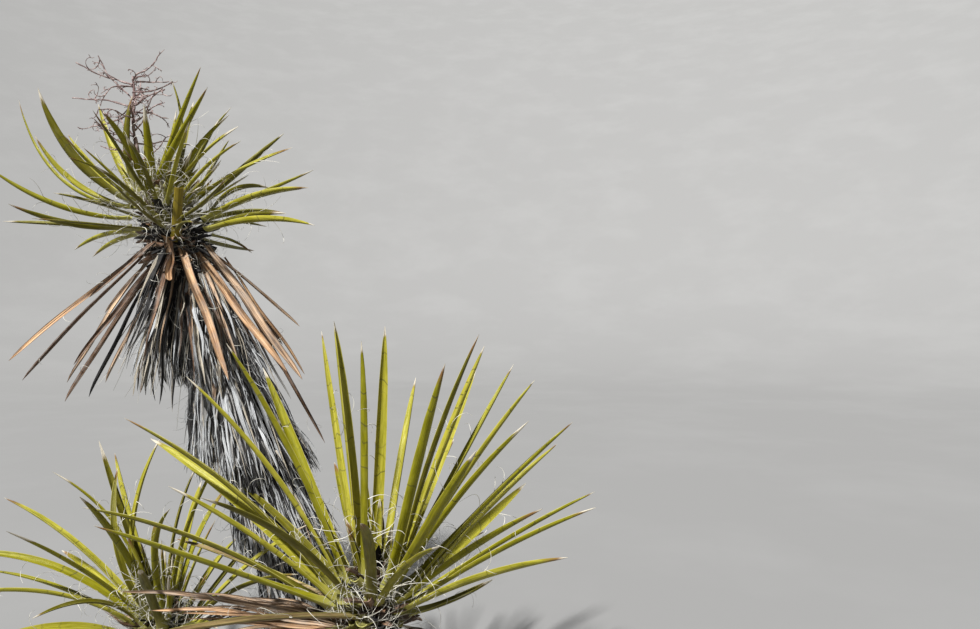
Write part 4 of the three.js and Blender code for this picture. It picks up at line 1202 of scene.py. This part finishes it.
def grown(draw):
    """The leaves of every mass, which the solids grow in this order, from the same stream."""
    leaves = {}
    for batch in (("top", "front", "left"), ("tan", "grey", "front_dead", "left_dead")):
        rows = {mass: listed(LISTED.get(mass, []), draw) for mass in batch}
        for mass in batch:
            filling = spiral(*SPIRALS[mass], rows[mass], draw) if mass in SPIRALS else []
            for leaf in filling:
                if mass == "top" and leaf["way"][1] < FRONT_SIDE:
                    leaf["broad"] *= FRONT_SIDE_BREADTH
                if mass == "front" and leaf["rise"] < LOW_RISE:
                    leaf.update(broad=WITHERED_BREADTH * leaf["broad"], finish="withered_leaf")
            leaves[mass] = rows[mass] + filling
    for leaf in leaves["tan"]:
        leaf["arch"] *= TAN_ARCH
    return leaves


def leafy_plant():
    draw = stream(SEED)
    front = SideStem(FRONT_CURVE, FRONT_RADIUS, FRONT_ROOT_RADIUS)
    left = SideStem(LEFT_CURVE, LEFT_RADIUS, LEFT_ROOT_RADIUS)
    leaves = grown(draw)
    stem_bark("trunk", trunk_at, 0, TRUNK_HEIGHT + HEART_LENGTH, rings=150, around=72, shift=5,
              lobes=LOBE_DEPTH)
    stem_bark("front_stem", front.at, -front.length, SIDE_HEART_LENGTH, rings=96, around=48, shift=10)
    stem_bark("left_stem", left.at, -left.length, SIDE_HEART_LENGTH, rings=90, around=48, shift=9)
    thatch(draw)
    flower_stalk(draw)
    leaf_bases("old_leaf_bases", "tan_leaf", trunk_past, 0.02, *OLD_LEAF_BASES)
    ends = {
        "top": (trunk_past, trunk_at(TRUNK_HEIGHT)[0], HEART_LENGTH, HEART_COLLAR),
        "front": (front.at, FRONT_HEART, SIDE_HEART_LENGTH, SIDE_COLLAR),
        "left": (left.at, LEFT_HEART, SIDE_HEART_LENGTH, SIDE_COLLAR),
    }
    for name, (at, _, reach, _) in ends.items():
        leaf_bases(name + "_leaf_bases", "live_leaf", at, reach, *ROSETTES[name]["bases"])
    for name, end in ends.items():
        live_rosette(name, leaves[name], *end)
    tan_skirt(leaves["tan"])
    grey_skirt(leaves["grey"])
    side_skirt("front", leaves["front_dead"], front, FRONT_HEART, FRONT_DEAD_COLLAR, strands=5)
    side_skirt("left", leaves["left_dead"], left, LEFT_HEART, LEFT_DEAD_COLLAR, strands=4)
    grey_shreds()


leafy_plant()


# The studio

def floor():
    """A pale floor that sweeps up all round into its own backdrop, at a slope that the light reaches."""
    turns = np.radians(np.arange(0, 360, 5))
    bend = np.radians(np.arange(0, 37, 4))
    reach = np.concatenate([[FLOOR_MIDDLE], FLOOR_REACH + SWEEP_RADIUS * np.sin(bend), [BACKDROP_REACH]])
    rise = np.concatenate([[0], SWEEP_RADIUS * (1 - np.cos(bend)), [BACKDROP_RISE]])
    columns = np.outer(reach, np.cos(turns)), np.outer(reach, np.sin(turns)), np.outer(rise, 1 + 0 * turns)
    rings = np.stack(columns, -1)
    corners = np.arange(rings.size // 3).reshape(len(reach), len(turns))
    after = np.roll(corners, -1, axis=1)
    quads = np.stack([corners[:-1], corners[1:], after[1:], after[:-1]], -1).reshape(-1, 4)
    mesh = bpy.data.meshes.new("floor")
    mesh.from_pydata(rings.reshape(-1, 3).tolist(), [], [corners[0].tolist()] + quads.tolist())
    mesh.polygons.foreach_set("use_smooth", [True] * len(mesh.polygons))
    tree, skin = start_finish("floor")
    blotch = placed(tree, WEATHER, Size=1.5)["Blotch"]
    plug(tree, skin, {"Base Color": tinted(tree, blotch, (0.225, 0.223, 0.218), (0.237, 0.235, 0.230)),
                      "Roughness": 0.95, "Specular IOR Level": 0.0})
    mesh.materials.append(FINISHES["floor"])
    standing("floor", mesh)


def distant_softbox(name, azimuth, height, softness, power):
    """A softbox far away, so that it lights the plant and the floor evenly."""
    light = bpy.data.lights.new(name, "SUN")
    light.angle, light.energy = math.radians(softness), power
    aim = Vector(-direction(azimuth, height)).to_track_quat("-Z", "Y")
    standing(name, light).rotation_euler = aim.to_euler()


def studio():
    scene = bpy.context.scene
    scene.world = bpy.data.worlds.new("studio")
    scene.world.use_nodes = True
    sky = scene.world.node_tree.nodes["Background"].inputs
    sky["Color"].default_value = (*SKY_COLOUR, 1)
    sky["Strength"].default_value = SKY_STRENGTH
    distant_softbox("key", KEY_AZIMUTH, KEY_HEIGHT, KEY_SOFTNESS, KEY_POWER)
    scene.view_settings.view_transform = "Standard"
    lens = bpy.data.cameras.new("camera")
    lens.lens, lens.sensor_width = FOCAL_LENGTH, FILM_WIDTH
    scene.camera = standing("camera", lens)
    scene.camera.location = EYE
    scene.camera.rotation_euler = (math.pi / 2, 0, 0)


floor()
studio()
